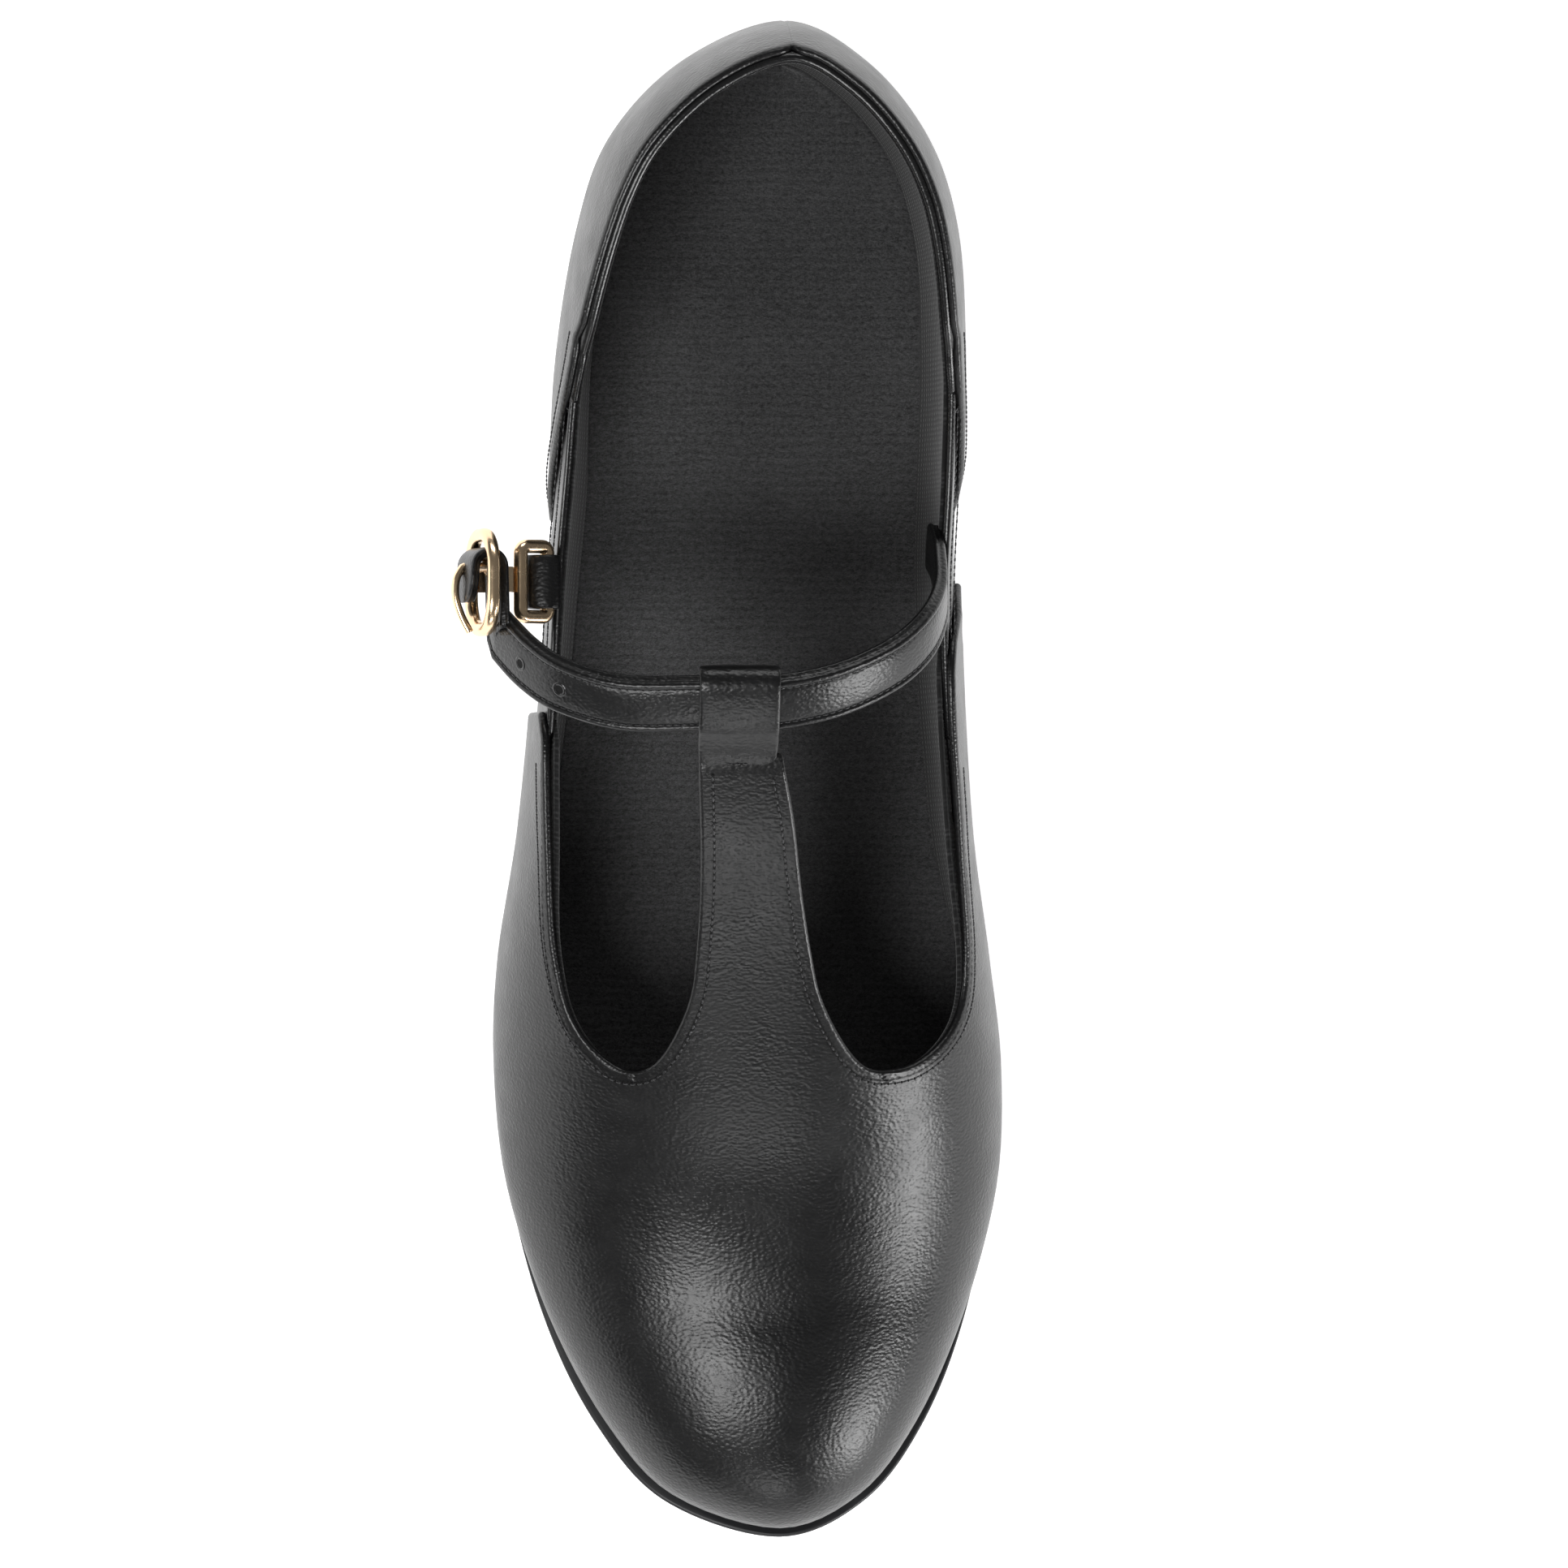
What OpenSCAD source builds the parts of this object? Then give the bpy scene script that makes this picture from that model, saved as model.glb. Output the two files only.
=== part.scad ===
/* [Sole and heel] */
// Height of the outsole's top edge over the ground at the ball of the foot
ball_top = 8.5; // [8:0.5:10]
// Rise of the heel seat over the ball
heel_rise = 33; // [28:1:36]
// Toe spring, the rise of the sole at the toe tip
toe_spring = 9; // [6:0.5:11]
// Thickness of the outsole
sole_t = 3.6; // [3:0.1:4]
// Thickness of the insole board
insole_t = 2.2; // [1.8:0.1:2.6]
// Thickness of the cushioned sock liner
sock_t = 1.8; // [1.4:0.1:2.2]

/* [Taps] */
// Thickness of the metal tap plates
tap_t = 2.4; // [2:0.1:2.8]
// Diameter of the tap screws' shanks
screw_d = 3; // [2.5:0.1:3.5]
// Diameter of the tap screws' heads
screw_head_d = 6; // [5:0.5:7]

/* [Upper] */
// Height of the back of the topline over the ground
back_top = 97; // [92:1:100]
// Thickness of the outer leather
leather_t = 1.2; // [1:0.1:1.3]
// Thickness of the stiffeners and side quarters under the outer leather
middle_t = 0.9; // [0.7:0.1:1]
// Thickness of the lining
lining_t = 0.6; // [0.5:0.1:0.7]
// Air left between two layers of the upper
layer_gap = 0.2; // [0.15:0.05:0.25]

/* [Strap] */
// Width of the instep strap
strap_w = 9; // [8:0.5:9.5]
// Thickness of the instep strap
strap_t = 2.2; // [1.8:0.1:2.4]

/* [Buckle] */
// Length of the buckle frame along the strap
frame_l = 17; // [16:0.5:18]
// Width of the buckle frame across the strap
frame_w = 15; // [14.5:0.5:16]
// Thickness of the buckle frame's wire
frame_t = 2; // [1.8:0.1:2.2]
// Diameter of the buckle's centre bar
bar_d = 1.6; // [1.4:0.1:1.8]
// Diameter of the ring's wire
ring_d = 2.2; // [2:0.1:2.4]

/* [Hidden] */
steps = 3;              // stations between two knots of the outline
clear = 0.15;           // air between the sole unit's layers
pin_gap = 0.05;         // radial running clearance of the pins
screws_toe = [[8, -112], [-14, -96], [27, -96]];
screws_heel = [[6.5, 109], [-4, 85], [17, 85]];

// ---- curves -------------------------------------------------------------------------------
function unit(v) = v / max(norm(v), 1e-9);
function mix(a, b, t) = a + (b - a) * t;
function clamp01(t) = min(max(t, 0), 1);
function ease(t) = let (c = clamp01(t)) c * c * (3 - 2 * c);

// Catmull-Rom through four points
function spline(a, b, c, d, t) =
    0.5 * ((2 * b) + (c - a) * t + (2 * a - 5 * b + 4 * c - d) * t * t
        + (3 * b - a - 3 * c + d) * t * t * t);

// smooth value at x on a table of [x, value] rows with rising x
function slope_at(table, i) =
    (i <= 0 || i >= len(table) - 1) ? 0
    : (table[i + 1][1] - table[i - 1][1]) / (table[i + 1][0] - table[i - 1][0]);
function row_of(table, x, i = 0) =
    (i >= len(table) - 2 || x <= table[i + 1][0]) ? i : row_of(table, x, i + 1);
function smooth_at(table, x) =
    let (
        i = row_of(table, x),
        w = table[i + 1][0] - table[i][0],
        t = clamp01((x - table[i][0]) / w),
        a = table[i][1],
        b = table[i + 1][1],
        s = slope_at(table, i) * w,
        e = slope_at(table, i + 1) * w
    )
    (2 * t * t * t - 3 * t * t + 1) * a + (t * t * t - 2 * t * t + t) * s
        + (3 * t * t - 2 * t * t * t) * b + (t * t * t - t * t) * e;

// ---- the last, the foot's form that every piece follows ------------------------------------
// Heel at +Y, toe at -Y, medial side at +X. Rows of [y, lateral x, medial x] at the widest line.
half_outline = [[117.5, -10, 20], [105, -21.9, 30.2], [90, -27.2, 35.1], [70, -30.4, 36.5],
    [50, -31.4, 36.7], [33, -32.8, 37], [12, -34.2, 38.1], [-8, -36.2, 40], [-28, -39.4, 43.5],
    [-46, -40.2, 46.1], [-66, -38, 45.7], [-88, -31.2, 40.4], [-106, -21.9, 32.6],
    [-118.5, -10.5, 22.6]];
pairs = len(half_outline);
back_point = [6.5, 124];
toe_point = [8.2, -124.3];
knots = concat([back_point], [for (r = half_outline) [r[1], r[0]]], [toe_point],
    [for (k = [pairs - 1:-1:0]) [half_outline[k][2], half_outline[k][0]]]);
stations = len(knots) * steps;          // station 0 is the back of the heel
toe_station = stations / 2;             // and this one is the toe tip
function knot(k) = knots[(k + len(knots)) % len(knots)];
function wrap(i) = (i + stations) % stations;
outline = [for (i = [0:stations - 1])
    let (k = floor(i / steps), t = i / steps - k)
    spline(knot(k - 1), knot(k), knot(k + 1), knot(k + 2), t)];
inward = [for (i = [0:stations - 1])
    let (d = unit(outline[wrap(i + 1)] - outline[wrap(i - 1)])) [-d[1], d[0]]];

// inset of the upper, of the sole and of the feather edge from the widest line
upper_inset = [[-124, 1.3], [-100, 1], [-80, 0.4], [-60, 0], [124, 0]];
sole_inset = [[-124, 0], [-95, 0.2], [-46, 2.6], [0, 4.6], [40, 5.6], [90, 4], [124, 3.4]];
// spine, crest height and roundness of the cross sections
spine_x = [[-80, 6], [-50, 3.5], [-30, 2.1], [-8, 0.4], [14, -1.7], [50, 1.5], [92, 5.5]];
crest_z = [[-88, 36.6], [-76, 38.7], [-64, 43.2], [-50, 51], [-30, 62], [-17, 70], [-4, 79], [14, 89], [30, 97],
    [60, 107], [92, 114]];
roundness = [[-124, 2.15], [-50, 2.3], [-10, 2.9], [30, 3.2], [70, 2.8], [124, 2.5]];
toe_pole = -88;
heel_pole = 92;

function feather_z(y) =
    let (s = 124 - y)
    ball_top + heel_rise * ease((160 - s) / 120)
        + (s > 200 ? toe_spring * pow((s - 200) / 48, 2) : 0);
function spine(y) = let (c = min(max(y, toe_pole), heel_pole)) [smooth_at(spine_x, c), c];

// point of the upper at a station, phi from 0 at the feather edge to 90 at the crest, and depth
// under the outer face
function last_point(i, phi, depth) =
    let (
        m0 = outline[wrap(i)],
        n = inward[wrap(i)],
        y = m0[1],
        inset = smooth_at(upper_inset, y) + depth,
        m = m0 + n * inset,
        c = spine(y),
        p = 2 / smooth_at(roundness, y),
        across = pow(cos(phi), p),
        up = pow(sin(phi), p),
        tuck = (smooth_at(sole_inset, y) + 0.8) * pow(max(1 - up / 0.35, 0), 2),
        low = feather_z(y) + clear,
        q = c + (m - c) * (phi >= 90 ? 0 : across) + n * tuck,
        high = smooth_at(crest_z, c[1]) - depth
    )
    [q[0], q[1], low + (high - low) * up];

// phi of a height on a station, and of a distance from the spine
function phi_at_height(i, z) =
    let (
        y = outline[wrap(i)][1],
        low = feather_z(y) + clear,
        high = smooth_at(crest_z, spine(y)[1]),
        t = clamp01((z - low) / (high - low))
    )
    asin(pow(t, smooth_at(roundness, y) / 2));
function phi_at_width(i, w) =
    let (m = outline[wrap(i)], y = m[1], half = norm(m - spine(y)))
    acos(pow(clamp01(w / half), smooth_at(roundness, y) / 2));

// ---- toplines ------------------------------------------------------------------------------
throat_y = -46;
throat_r = 16;
throat_half = 20.5;
bar_half = [[-46, 12], [-30, 9.3], [-17, 7.7], [-4, 6.9], [6, 6.2], [20, 6.2]];
wing_top_lateral = [[-46, 46], [-28, 50], [-8, 56], [12, 60.5], [33, 65]];
wing_top_medial = [[-46, 42], [-28, 43.5], [-8, 52], [12, 61], [33, 65]];
side_top = [[-8, 49], [12, 58.8], [33, 66], [50, 70], [70, 77.5], [90, 86], [105, 92]];
heel_top = [[60, 74], [75, 84], [90, 90.5], [105, 94], [124, 97]];

function is_medial(i) = wrap(i) > toe_station;
throat_power = 2.3;     // 2 would be a quarter ellipse, more is squarer
function throat_round(y) =
    let (d = clamp01((y - throat_y) / throat_r)) pow(1 - pow(1 - d, throat_power), 1 / throat_power);
function throat_phi() = phi_at_width(3 * 10, throat_half);
function wing_phi(i) =
    let (
        y = outline[wrap(i)][1],
        z = smooth_at(is_medial(i) ? wing_top_medial : wing_top_lateral, y)
    )
    y <= throat_y + 0.01 ? throat_phi()
        : mix(throat_phi(), phi_at_height(i, z), throat_round(y));
function bar_phi(i) =
    let (y = outline[wrap(i)][1])
    y <= throat_y + 0.01 ? throat_phi()
        : mix(throat_phi(), phi_at_width(i, smooth_at(bar_half, y)), throat_round(y));
function heel_phi(i) = let (y = outline[wrap(i)][1])
    phi_at_height(i, smooth_at(heel_top, y) + back_top - 97);
function side_phi(i) = let (y = outline[wrap(i)][1]) phi_at_height(i, smooth_at(side_top, y));

// ---- mesh helpers --------------------------------------------------------------------------
function same(a, b) = norm(a - b) < 1e-7;
function keep(p, f) =
    !(same(p[f[0]], p[f[1]]) || same(p[f[1]], p[f[2]]) || same(p[f[2]], p[f[0]]));
// grid rows to [points, faces]
function sheet(rows, flip = false) =
    let (
        n = len(rows[0]),
        p = [for (r = rows) each r],
        f = [for (i = [0:len(rows) - 2], j = [0:n - 2])
            let (a = i * n + j, b = a + 1, c = a + n, d = c + 1)
            each flip ? [[a, c, d], [a, d, b]] : [[a, d, c], [a, b, d]]]
    )
    [p, [for (t = f) if (keep(p, t)) t]];
function joined(parts, k = 0, p = [], f = []) =
    k == len(parts) ? [p, f]
    : joined(parts, k + 1, concat(p, parts[k][0]),
        concat(f, [for (t = parts[k][1]) [for (v = t) v + len(p)]]));
module solid_of(parts) {
    m = joined(parts);
    polyhedron(points = m[0], faces = m[1], convexity = 10);
}
// a leather patch between stations, from feather edge to a topline
function column(i, low, high, depth, n) =
    [for (j = [0:n]) last_point(i, mix(low, high, j / n), depth)];
function rim(loop_out, loop_in) = sheet([loop_out, loop_in]);
function last(v) = v[len(v) - 1];
module patch(list, lows, highs, top, thick, n) {
    outer = [for (k = [0:len(list) - 1]) column(list[k], lows[k], highs[k], top, n)];
    inner = [for (k = [0:len(list) - 1]) column(list[k], lows[k], highs[k], top + thick, n)];
    function loop(g) = concat([for (k = [0:len(g) - 1]) g[k][0]], [for (j = [1:n]) last(g)[j]],
        [for (k = [len(g) - 2:-1:0]) g[k][n]], [for (j = [n - 1:-1:0]) g[0][j]]);
    solid_of([sheet(outer), sheet(inner, true), rim(loop(outer), loop(inner))]);
}

// tube of n-sided section along points, with a width direction at each point
function frames(path) = [for (k = [0:len(path) - 1])
    unit(path[min(k + 1, len(path) - 1)] - path[max(k - 1, 0)])];
function ribbon_rows(path, normals, w, t) =
    let (tan = frames(path), r = t * 0.35)
    [for (k = [0:len(path) - 1])
        let (s = unit(cross(normals[k], tan[k])), n = unit(cross(tan[k], s)), h = w / 2, q = t / 2)
        [for (c = [[h, q - r], [h - r, q], [r - h, q], [-h, q - r], [-h, r - q], [r - h, -q],
            [h - r, -q], [h, r - q], [h, q - r]]) path[k] + s * c[0] + n * c[1]]];
function cap(row, flip) =
    let (n = len(row) - 1)
    [[for (k = [0:n - 1]) row[k]], [for (k = [1:n - 2]) flip ? [0, k + 1, k] : [0, k, k + 1]]];
module ribbon(path, normals, w, t) {
    rows = ribbon_rows(path, normals, w, t);
    solid_of([sheet(rows, true), cap(rows[0], false), cap(last(rows), true)]);
}
function through(points, n) = [for (k = [0:len(points) - 2], s = [0:n - 1])
    spline(points[max(k - 1, 0)], points[k], points[k + 1], points[min(k + 2, len(points) - 1)],
        s / n), last(points)];

// ---- sole unit helpers ---------------------------------------------------------------------
function inset_outline(extra) = [for (i = [0:stations - 1])
    outline[i] + inward[i] * (smooth_at(sole_inset, outline[i][1]) + extra)];
// what lies on the insole is cut smaller than the sole, most of all at the toe
bed_inset = [[-124, 9], [-100, 8.5], [-80, 6.5], [-60, 5], [124, 4.6]];
function bed_outline() = [for (i = [0:stations - 1])
    inset_outline(0)[i] + inward[i] * smooth_at(bed_inset, outline[i][1])];
profile_ys = [for (k = [0:40]) mix(-126, 126, k / 40)];
// prism between two heights under the feather line, from y0 to y1
module under_feather(top, bottom, y0 = -126, y1 = 126) {
    ys = concat([y0], [for (y = profile_ys) if (y > y0 + 1 && y < y1 - 1) y], [y1]);
    translate([-60, 0, 0])
        rotate([90, 0, 90])
            linear_extrude(120)
                polygon(concat([for (y = ys) [y, feather_z(y) + top]],
                    [for (k = [len(ys) - 1:-1:0]) [ys[k], feather_z(ys[k]) + bottom]]));
}
module plate(extra, top, bottom, y0 = -126, y1 = 126)
    intersection() {
        linear_extrude(120) polygon(inset_outline(extra));
        under_feather(top, bottom, y0, y1);
    }
module bed_plate(top, bottom)
    intersection() {
        linear_extrude(120) polygon(bed_points);
        under_feather(top, bottom);
    }
bed_points = bed_outline();
tap_board_t = ball_top - sole_t - tap_t;      // what is left over the toe tap
toe_tap_rear = -58;
heel_front = 66;
heel_lift_top = 6;

// ---- sole unit -----------------------------------------------------------------------------
module screw_hole(p, z, d, h)
    translate([p[0], p[1], z]) cylinder(d = d, h = h, $fn = 32);

module outsole()
    color("#1b1a1a")
    difference() {
        plate(0, 0, -sole_t);
        for (p = screws_toe) screw_hole(p, 4, screw_d + 2 * pin_gap, 12);
    }

module sole_grip_pad()
    color("#222222")
    plate(4, -sole_t, -sole_t - 1.6, toe_tap_rear + 1.5, -20);

module toe_tap_board()
    color("#3a2f26")
    difference() {
        plate(1.5, -sole_t, -sole_t - tap_board_t, -126, toe_tap_rear);
        for (p = screws_toe) screw_hole(p, 0, screw_d + 2 * pin_gap, 18);
    }

// The plate follows the toe spring; its countersinks hold the screw heads
module toe_tap()
    color("#c9ccd0")
    difference() {
        plate(2, -sole_t - tap_board_t, -sole_t - tap_board_t - tap_t, -126, toe_tap_rear);
        for (p = screws_toe) {
            screw_hole(p, -1, screw_d + 2 * pin_gap, 20);
            screw_hole(p, -1, screw_head_d + 2 * pin_gap, toe_screw_z(p) + 1 + pin_gap);
        }
    }
function toe_screw_z(p) = feather_z(p[1]) - sole_t - tap_board_t - tap_t / 2 + 0.35;

module screw(p, z, length) {
    slot = 0.8;
    translate([p[0], p[1], z])
        difference() {
            union() {
                translate([0, 0, -1]) cylinder(d = screw_head_d, h = 1, $fn = 32);
                cylinder(d = screw_d, h = length, $fn = 32);
            }
            translate([-4, -slot / 2, -1.5]) cube([8, slot, 0.9]);
        }
}
module toe_tap_screws()
    color("#aeb2b8")
    for (p = screws_toe) screw(p, toe_screw_z(p), tap_board_t + tap_t / 2 + 2.2);

module insole_board()
    color("#8a6f4f")
    difference() {
        bed_plate(insole_t, clear);
        under_feather(clear + 1.15, 0, -8, 86.5);
        for (y = [-2, 80]) screw_hole([shank_x, y], 0, 2.1, 60);
    }

shank_x = 4;
module steel_shank()
    color("#8f959c")
    difference() {
        intersection() {
            translate([shank_x - 5, -7, 0]) cube([10, 93, 60]);
            under_feather(clear + 1.05, clear + 0.05, -7, 86);
        }
        for (y = [-2, 80]) screw_hole([shank_x, y], 0, 2.1, 60);
    }

module shank_rivets()
    color("#b0a078")
    for (y = [-2, 80])
        translate([shank_x, y, feather_z(y) + 0.5]) cylinder(d = 2, h = 1.5, $fn = 24);

heel_center = [6.5, 92];
function heel_ring(f, extra) = [for (p = inset_outline(extra)) if (p[1] > heel_front)
    [mix(heel_center[0], p[0], f), mix(heel_center[1], p[1], f)]];
module heel_section(f, z, h)
    translate([0, 0, z])
        linear_extrude(h)
            polygon(heel_ring(f, 0.6));

module heel_block()
    color("#1a1a1a")
    difference() {
        intersection() {
            hull() {
                heel_section(1, 42, 1);
                heel_section(0.93, 24, 1);
                heel_section(0.88, heel_lift_top, 1);
            }
            under_feather(-sole_t - clear, -60, 40, 126);
        }
        for (p = screws_heel) screw_hole(p, 0, screw_d + 2 * pin_gap, heel_lift_top + 12.1);
        for (p = nail_places) screw_hole(p, 30, 1.9, 40);
    }

nail_places = [[6.5, 110], [-5, 100], [18, 100], [-4, 80], [17, 80]];
module heel_nails()
    color("#9a9da1")
    for (p = nail_places)
        translate([p[0], p[1], 31]) cylinder(d = 1.8, h = 5, $fn = 16);

module heel_lift_board()
    color("#2b2622")
    difference() {
        heel_section(0.88, tap_t + 0.6, heel_lift_top - tap_t - 0.6 - clear);
        for (p = screws_heel) screw_hole(p, 0, screw_d + 2 * pin_gap, 20);
    }

module heel_tap()
    color("#c9ccd0")
    difference() {
        union() {
            heel_section(0.86, 0, tap_t);
            heel_section(0.8, 0, tap_t + 0.6 - clear);
        }
        for (p = screws_heel) {
            screw_hole(p, -1, screw_d + 2 * pin_gap, 20);
            screw_hole(p, -1, screw_head_d + 2 * pin_gap, 2.35 + pin_gap);
        }
    }

module heel_tap_screws()
    color("#aeb2b8")
    for (p = screws_heel) screw(p, 1.35, heel_lift_top + 9);

module sock_liner()
    color("#111111")
    bed_plate(insole_t + clear + sock_t, insole_t + clear);

// ---- upper ---------------------------------------------------------------------------------
wing_end_lateral = 3 * 7;
wing_end_medial = stations - 3 * 6;
bar_end = 3 * 7 + 1;
function reversed(v) = [for (k = [len(v) - 1:-1:0]) v[k]];

// the vamp and its T-bar are one leather, and the lining under them is cut the same way
module vamp_shape(top, thick, trim, low_rows, high_rows) {
    low_stations = [for (i = [wing_end_lateral:wing_end_medial]) i];
    full = [for (i = [3 * 10:stations - 3 * 10]) i];
    bar_l = [for (i = [3 * 10:-1:bar_end]) i];
    bar_m = [for (i = bar_l) stations - i];
    function edge(i) = wing_phi(i) - trim;
    function bar_edge(i) = bar_phi(i) + (i == 3 * 10 || i == stations - 3 * 10 ? -trim : trim);
    function low_grid(d) = [for (i = low_stations)
        column(i, 0, outline[wrap(i)][1] < throat_y - 0.01 ? throat_phi() - trim : edge(i), d,
            low_rows)];
    function high_grid(list, d) = [for (i = list)
        column(i, outline[wrap(i)][1] < throat_y - 0.01 ? throat_phi() - trim : bar_edge(i), 90, d,
            high_rows)];
    function boundary(d) =
        let (
            g = low_grid(d),
            n = low_rows,
            b1 = high_grid(bar_l, d),
            b2 = high_grid(bar_m, d),
            lat = [for (k = [0:len(g) - 1]) if (low_stations[k] <= 3 * 10) g[k][n]],
            med = [for (k = [0:len(g) - 1]) if (low_stations[k] >= stations - 3 * 10) g[k][n]]
        )
        concat(
            [for (k = [0:len(g) - 1]) g[k][0]],
            [for (j = [1:n - 1]) last(g)[j]],
            reversed(med),
            [for (k = [1:len(b2) - 1]) b2[k][0]],
            [for (j = [1:high_rows]) last(b2)[j]],
            [for (j = [high_rows - 1:-1:0]) last(b1)[j]],
            [for (k = [len(b1) - 2:-1:1]) b1[k][0]],
            reversed(lat),
            [for (j = [n - 1:-1:0]) g[0][j]]);
    solid_of([
        sheet(low_grid(top)), sheet(low_grid(top + thick), true),
        sheet(high_grid(full, top)), sheet(high_grid(full, top + thick), true),
        sheet(reversed(high_grid(bar_l, top))), sheet(reversed(high_grid(bar_l, top + thick)), true),
        sheet(high_grid(bar_m, top)), sheet(high_grid(bar_m, top + thick), true),
        rim(boundary(top), boundary(top + thick))]);
}

middle_top = leather_t + layer_gap;
lining_top = middle_top + middle_t + layer_gap;

module vamp() color("#17171a") vamp_shape(0, leather_t, 0, 6, 5);
module vamp_lining() color("#2c2a2a") vamp_shape(lining_top, lining_t, 0, 5, 4);

// stiffener over the toes, between vamp and lining
module toe_puff() {
    list = [for (i = [3 * 12:stations - 3 * 12]) i];
    color("#5a5148")
        patch(list, [for (i = list) 3], [for (i = list) 62], middle_top, middle_t - 0.3, 8);
}

// front edge of the heel quarter, which runs forward and down from the topline
quarter_front = 3 * 5 + 1;
function quarter_high(k) =
    let (i = min(k, stations - k), y = outline[i][1])
    y > 72 ? heel_phi(k)
        : mix(phi_at_height(k, feather_z(y) + 9), heel_phi(3 * 4), ease((y - 38) / 34));
module heel_quarter(list) {
    color("#1a1a1d")
        patch(list, [for (i = list) 0], [for (i = list) quarter_high(i)], 0, leather_t, 6);
}
module heel_quarter_lateral()
    heel_quarter([for (i = [0:quarter_front]) i]);
module heel_quarter_medial()
    heel_quarter([for (i = [stations - quarter_front:stations]) i]);

// narrow tape inside the back seam
module back_seam_tape()
    color("#101010")
    intersection() {
        translate([1.5, 60, 77]) cube([10, 80, 16]);
        patch([for (i = [stations - 2:stations + 2]) i], [for (i = [0:4]) 12],
            [for (i = [stations - 2:stations + 2]) quarter_high(i % stations)], middle_top,
            0.3, 4);
    }

module heel_counter() {
    list = [for (i = [stations - 3 * 4:stations + 3 * 4]) i];
    color("#6b6259")
        patch(list, [for (i = list) 3], [for (i = list)
            let (k = wrap(i), y = outline[k][1])
            mix(phi_at_height(k, feather_z(y) + 26), phi_at_height(k, feather_z(y) + 40),
                ease((y - 70) / 50))], middle_top + 0.35, middle_t - 0.35, 4);
}

module side_quarter(list) {
    color("#1a1a1d")
        patch(list, [for (i = list) 0], [for (i = list) side_phi(i)], middle_top, middle_t, 6);
}
module side_quarter_lateral()
    side_quarter([for (i = [3 * 4 + 1:3 * 8 - 1]) i]);
module side_quarter_medial()
    side_quarter([for (i = [stations - 3 * 8 + 1:stations - 3 * 4 - 1]) i]);

function quarter_line_phi(k) =
    let (i = min(wrap(k), stations - wrap(k)), y = outline[i][1])
    (y > 66 ? heel_phi(i) : side_phi(i)) - 1;
module quarter_lining() {
    list = [for (i = [stations - 3 * 6 + 1:stations + 3 * 7 - 1]) i];
    color("#242222")
        patch(list, [for (i = list) 0], [for (i = list)
            min(quarter_line_phi(i), 88)], lining_top, lining_t, 6);
}

// rolled edge round the top of the heel quarters
module topline_binding() {
    list = [for (i = [stations - 3 * 4:stations + 3 * 4]) i];
    path = [for (i = list) last_point(i, heel_phi(wrap(i)) + 1.4, middle_top + 0.45) + [0, 0, 1.2]];
    color("#141414")
        ribbon(path, [for (p = path) [0, 0, 1]], 2.2, 1.2);
}

// ---- strap ---------------------------------------------------------------------------------
loop_center = [-1.7, 13.5, 88.6];
loop_tilt = 33;
strap_points = [[30.6, 39, 62.5], [31.3, 36, 66], [31.2, 30, 72], [28.4, 24.5, 78.5],
    [22.5, 19.5, 83.4], [13.5, 15.5, 86.8], [4, 13.6, 88.5], [-1.7, 13.5, 88.6],
    [-8, 13.5, 88.4], [-20, 13.6, 86.4], [-29.3, 16.3, 83.2]];
free_points = [[-29.5, 16.5, 83], [-34.6, 19.8, 79]];
function strap_normal(p) = unit([p[0] + 1.7, -0.65 * (p[2] - 60), p[2] - 60]);
strap_break = free_points[0];

module strap_medial() {
    path = through(strap_points, 3);
    color("#17171a")
        ribbon(path, [for (p = path) strap_normal(p)], strap_w, strap_t);
}

// sleeve folded from the end of the T-bar, which the strap runs through
module strap_loop() {
    wall = 1.2;
    in_w = strap_w + 0.8;
    in_t = strap_t + 1.2;
    color("#17171a")
        translate(loop_center)
            rotate([loop_tilt, 0, 0])
                rotate([90, 0, 90])
                    translate([0, 0, -6.1])
                        linear_extrude(12.2)
                            difference() {
                                union() {
                                    translate([-in_w / 2, -in_t / 2 - wall])
                                        square([in_w, in_t + 2 * wall]);
                                    for (s = [-1, 1])
                                        translate([s * in_w / 2, 0])
                                            circle(d = in_t + 2 * wall, $fn = 32);
                                }
                                translate([-in_w / 2, -in_t / 2]) square([in_w, in_t]);
                            }
}

// ---- ring and buckle -----------------------------------------------------------------------
ring_inner = [-31.4, 33.2, 69.2];
ring_reach = 5.6;
ring_half = 5.6;
ring_lift = 40;
module ring() {
    color("#d9b36a")
        translate(ring_inner)
            rotate([0, ring_lift, 0]) {
                for (x = [0, -ring_reach])
                    translate([x, -ring_half - ring_d / 2, 0])
                        rotate([-90, 0, 0]) cylinder(d = ring_d, h = 2 * ring_half + ring_d, $fn = 32);
                for (y = [-ring_half, ring_half])
                    translate([-ring_reach, y, 0])
                        rotate([0, 90, 0]) cylinder(d = ring_d, h = ring_reach, $fn = 32);
            }
}

// leather tab folded round the ring and sewn between side quarter and lining
module ring_tab() {
    knuckle = ring_d + 2 * pin_gap + 2;
    color("#17171a")
        translate(ring_inner)
            difference() {
                union() {
                    translate([0, -4.3, 0]) rotate([-90, 0, 0]) cylinder(d = knuckle, h = 8.6, $fn = 32);
                    translate([-0.2, -4.3, -10]) cube([0.8, 8.6, 10]);
                }
                translate([0, -6, 0])
                    rotate([-90, 0, 0]) cylinder(d = ring_d + 2 * pin_gap, h = 12, $fn = 32);
            }
}

buckle_at = [-41.8, 33, 74.2];
buckle_lean = -75;
bar_y = 2.4;
module in_buckle() translate(buckle_at) rotate([0, buckle_lean, 0]) children();

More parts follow.
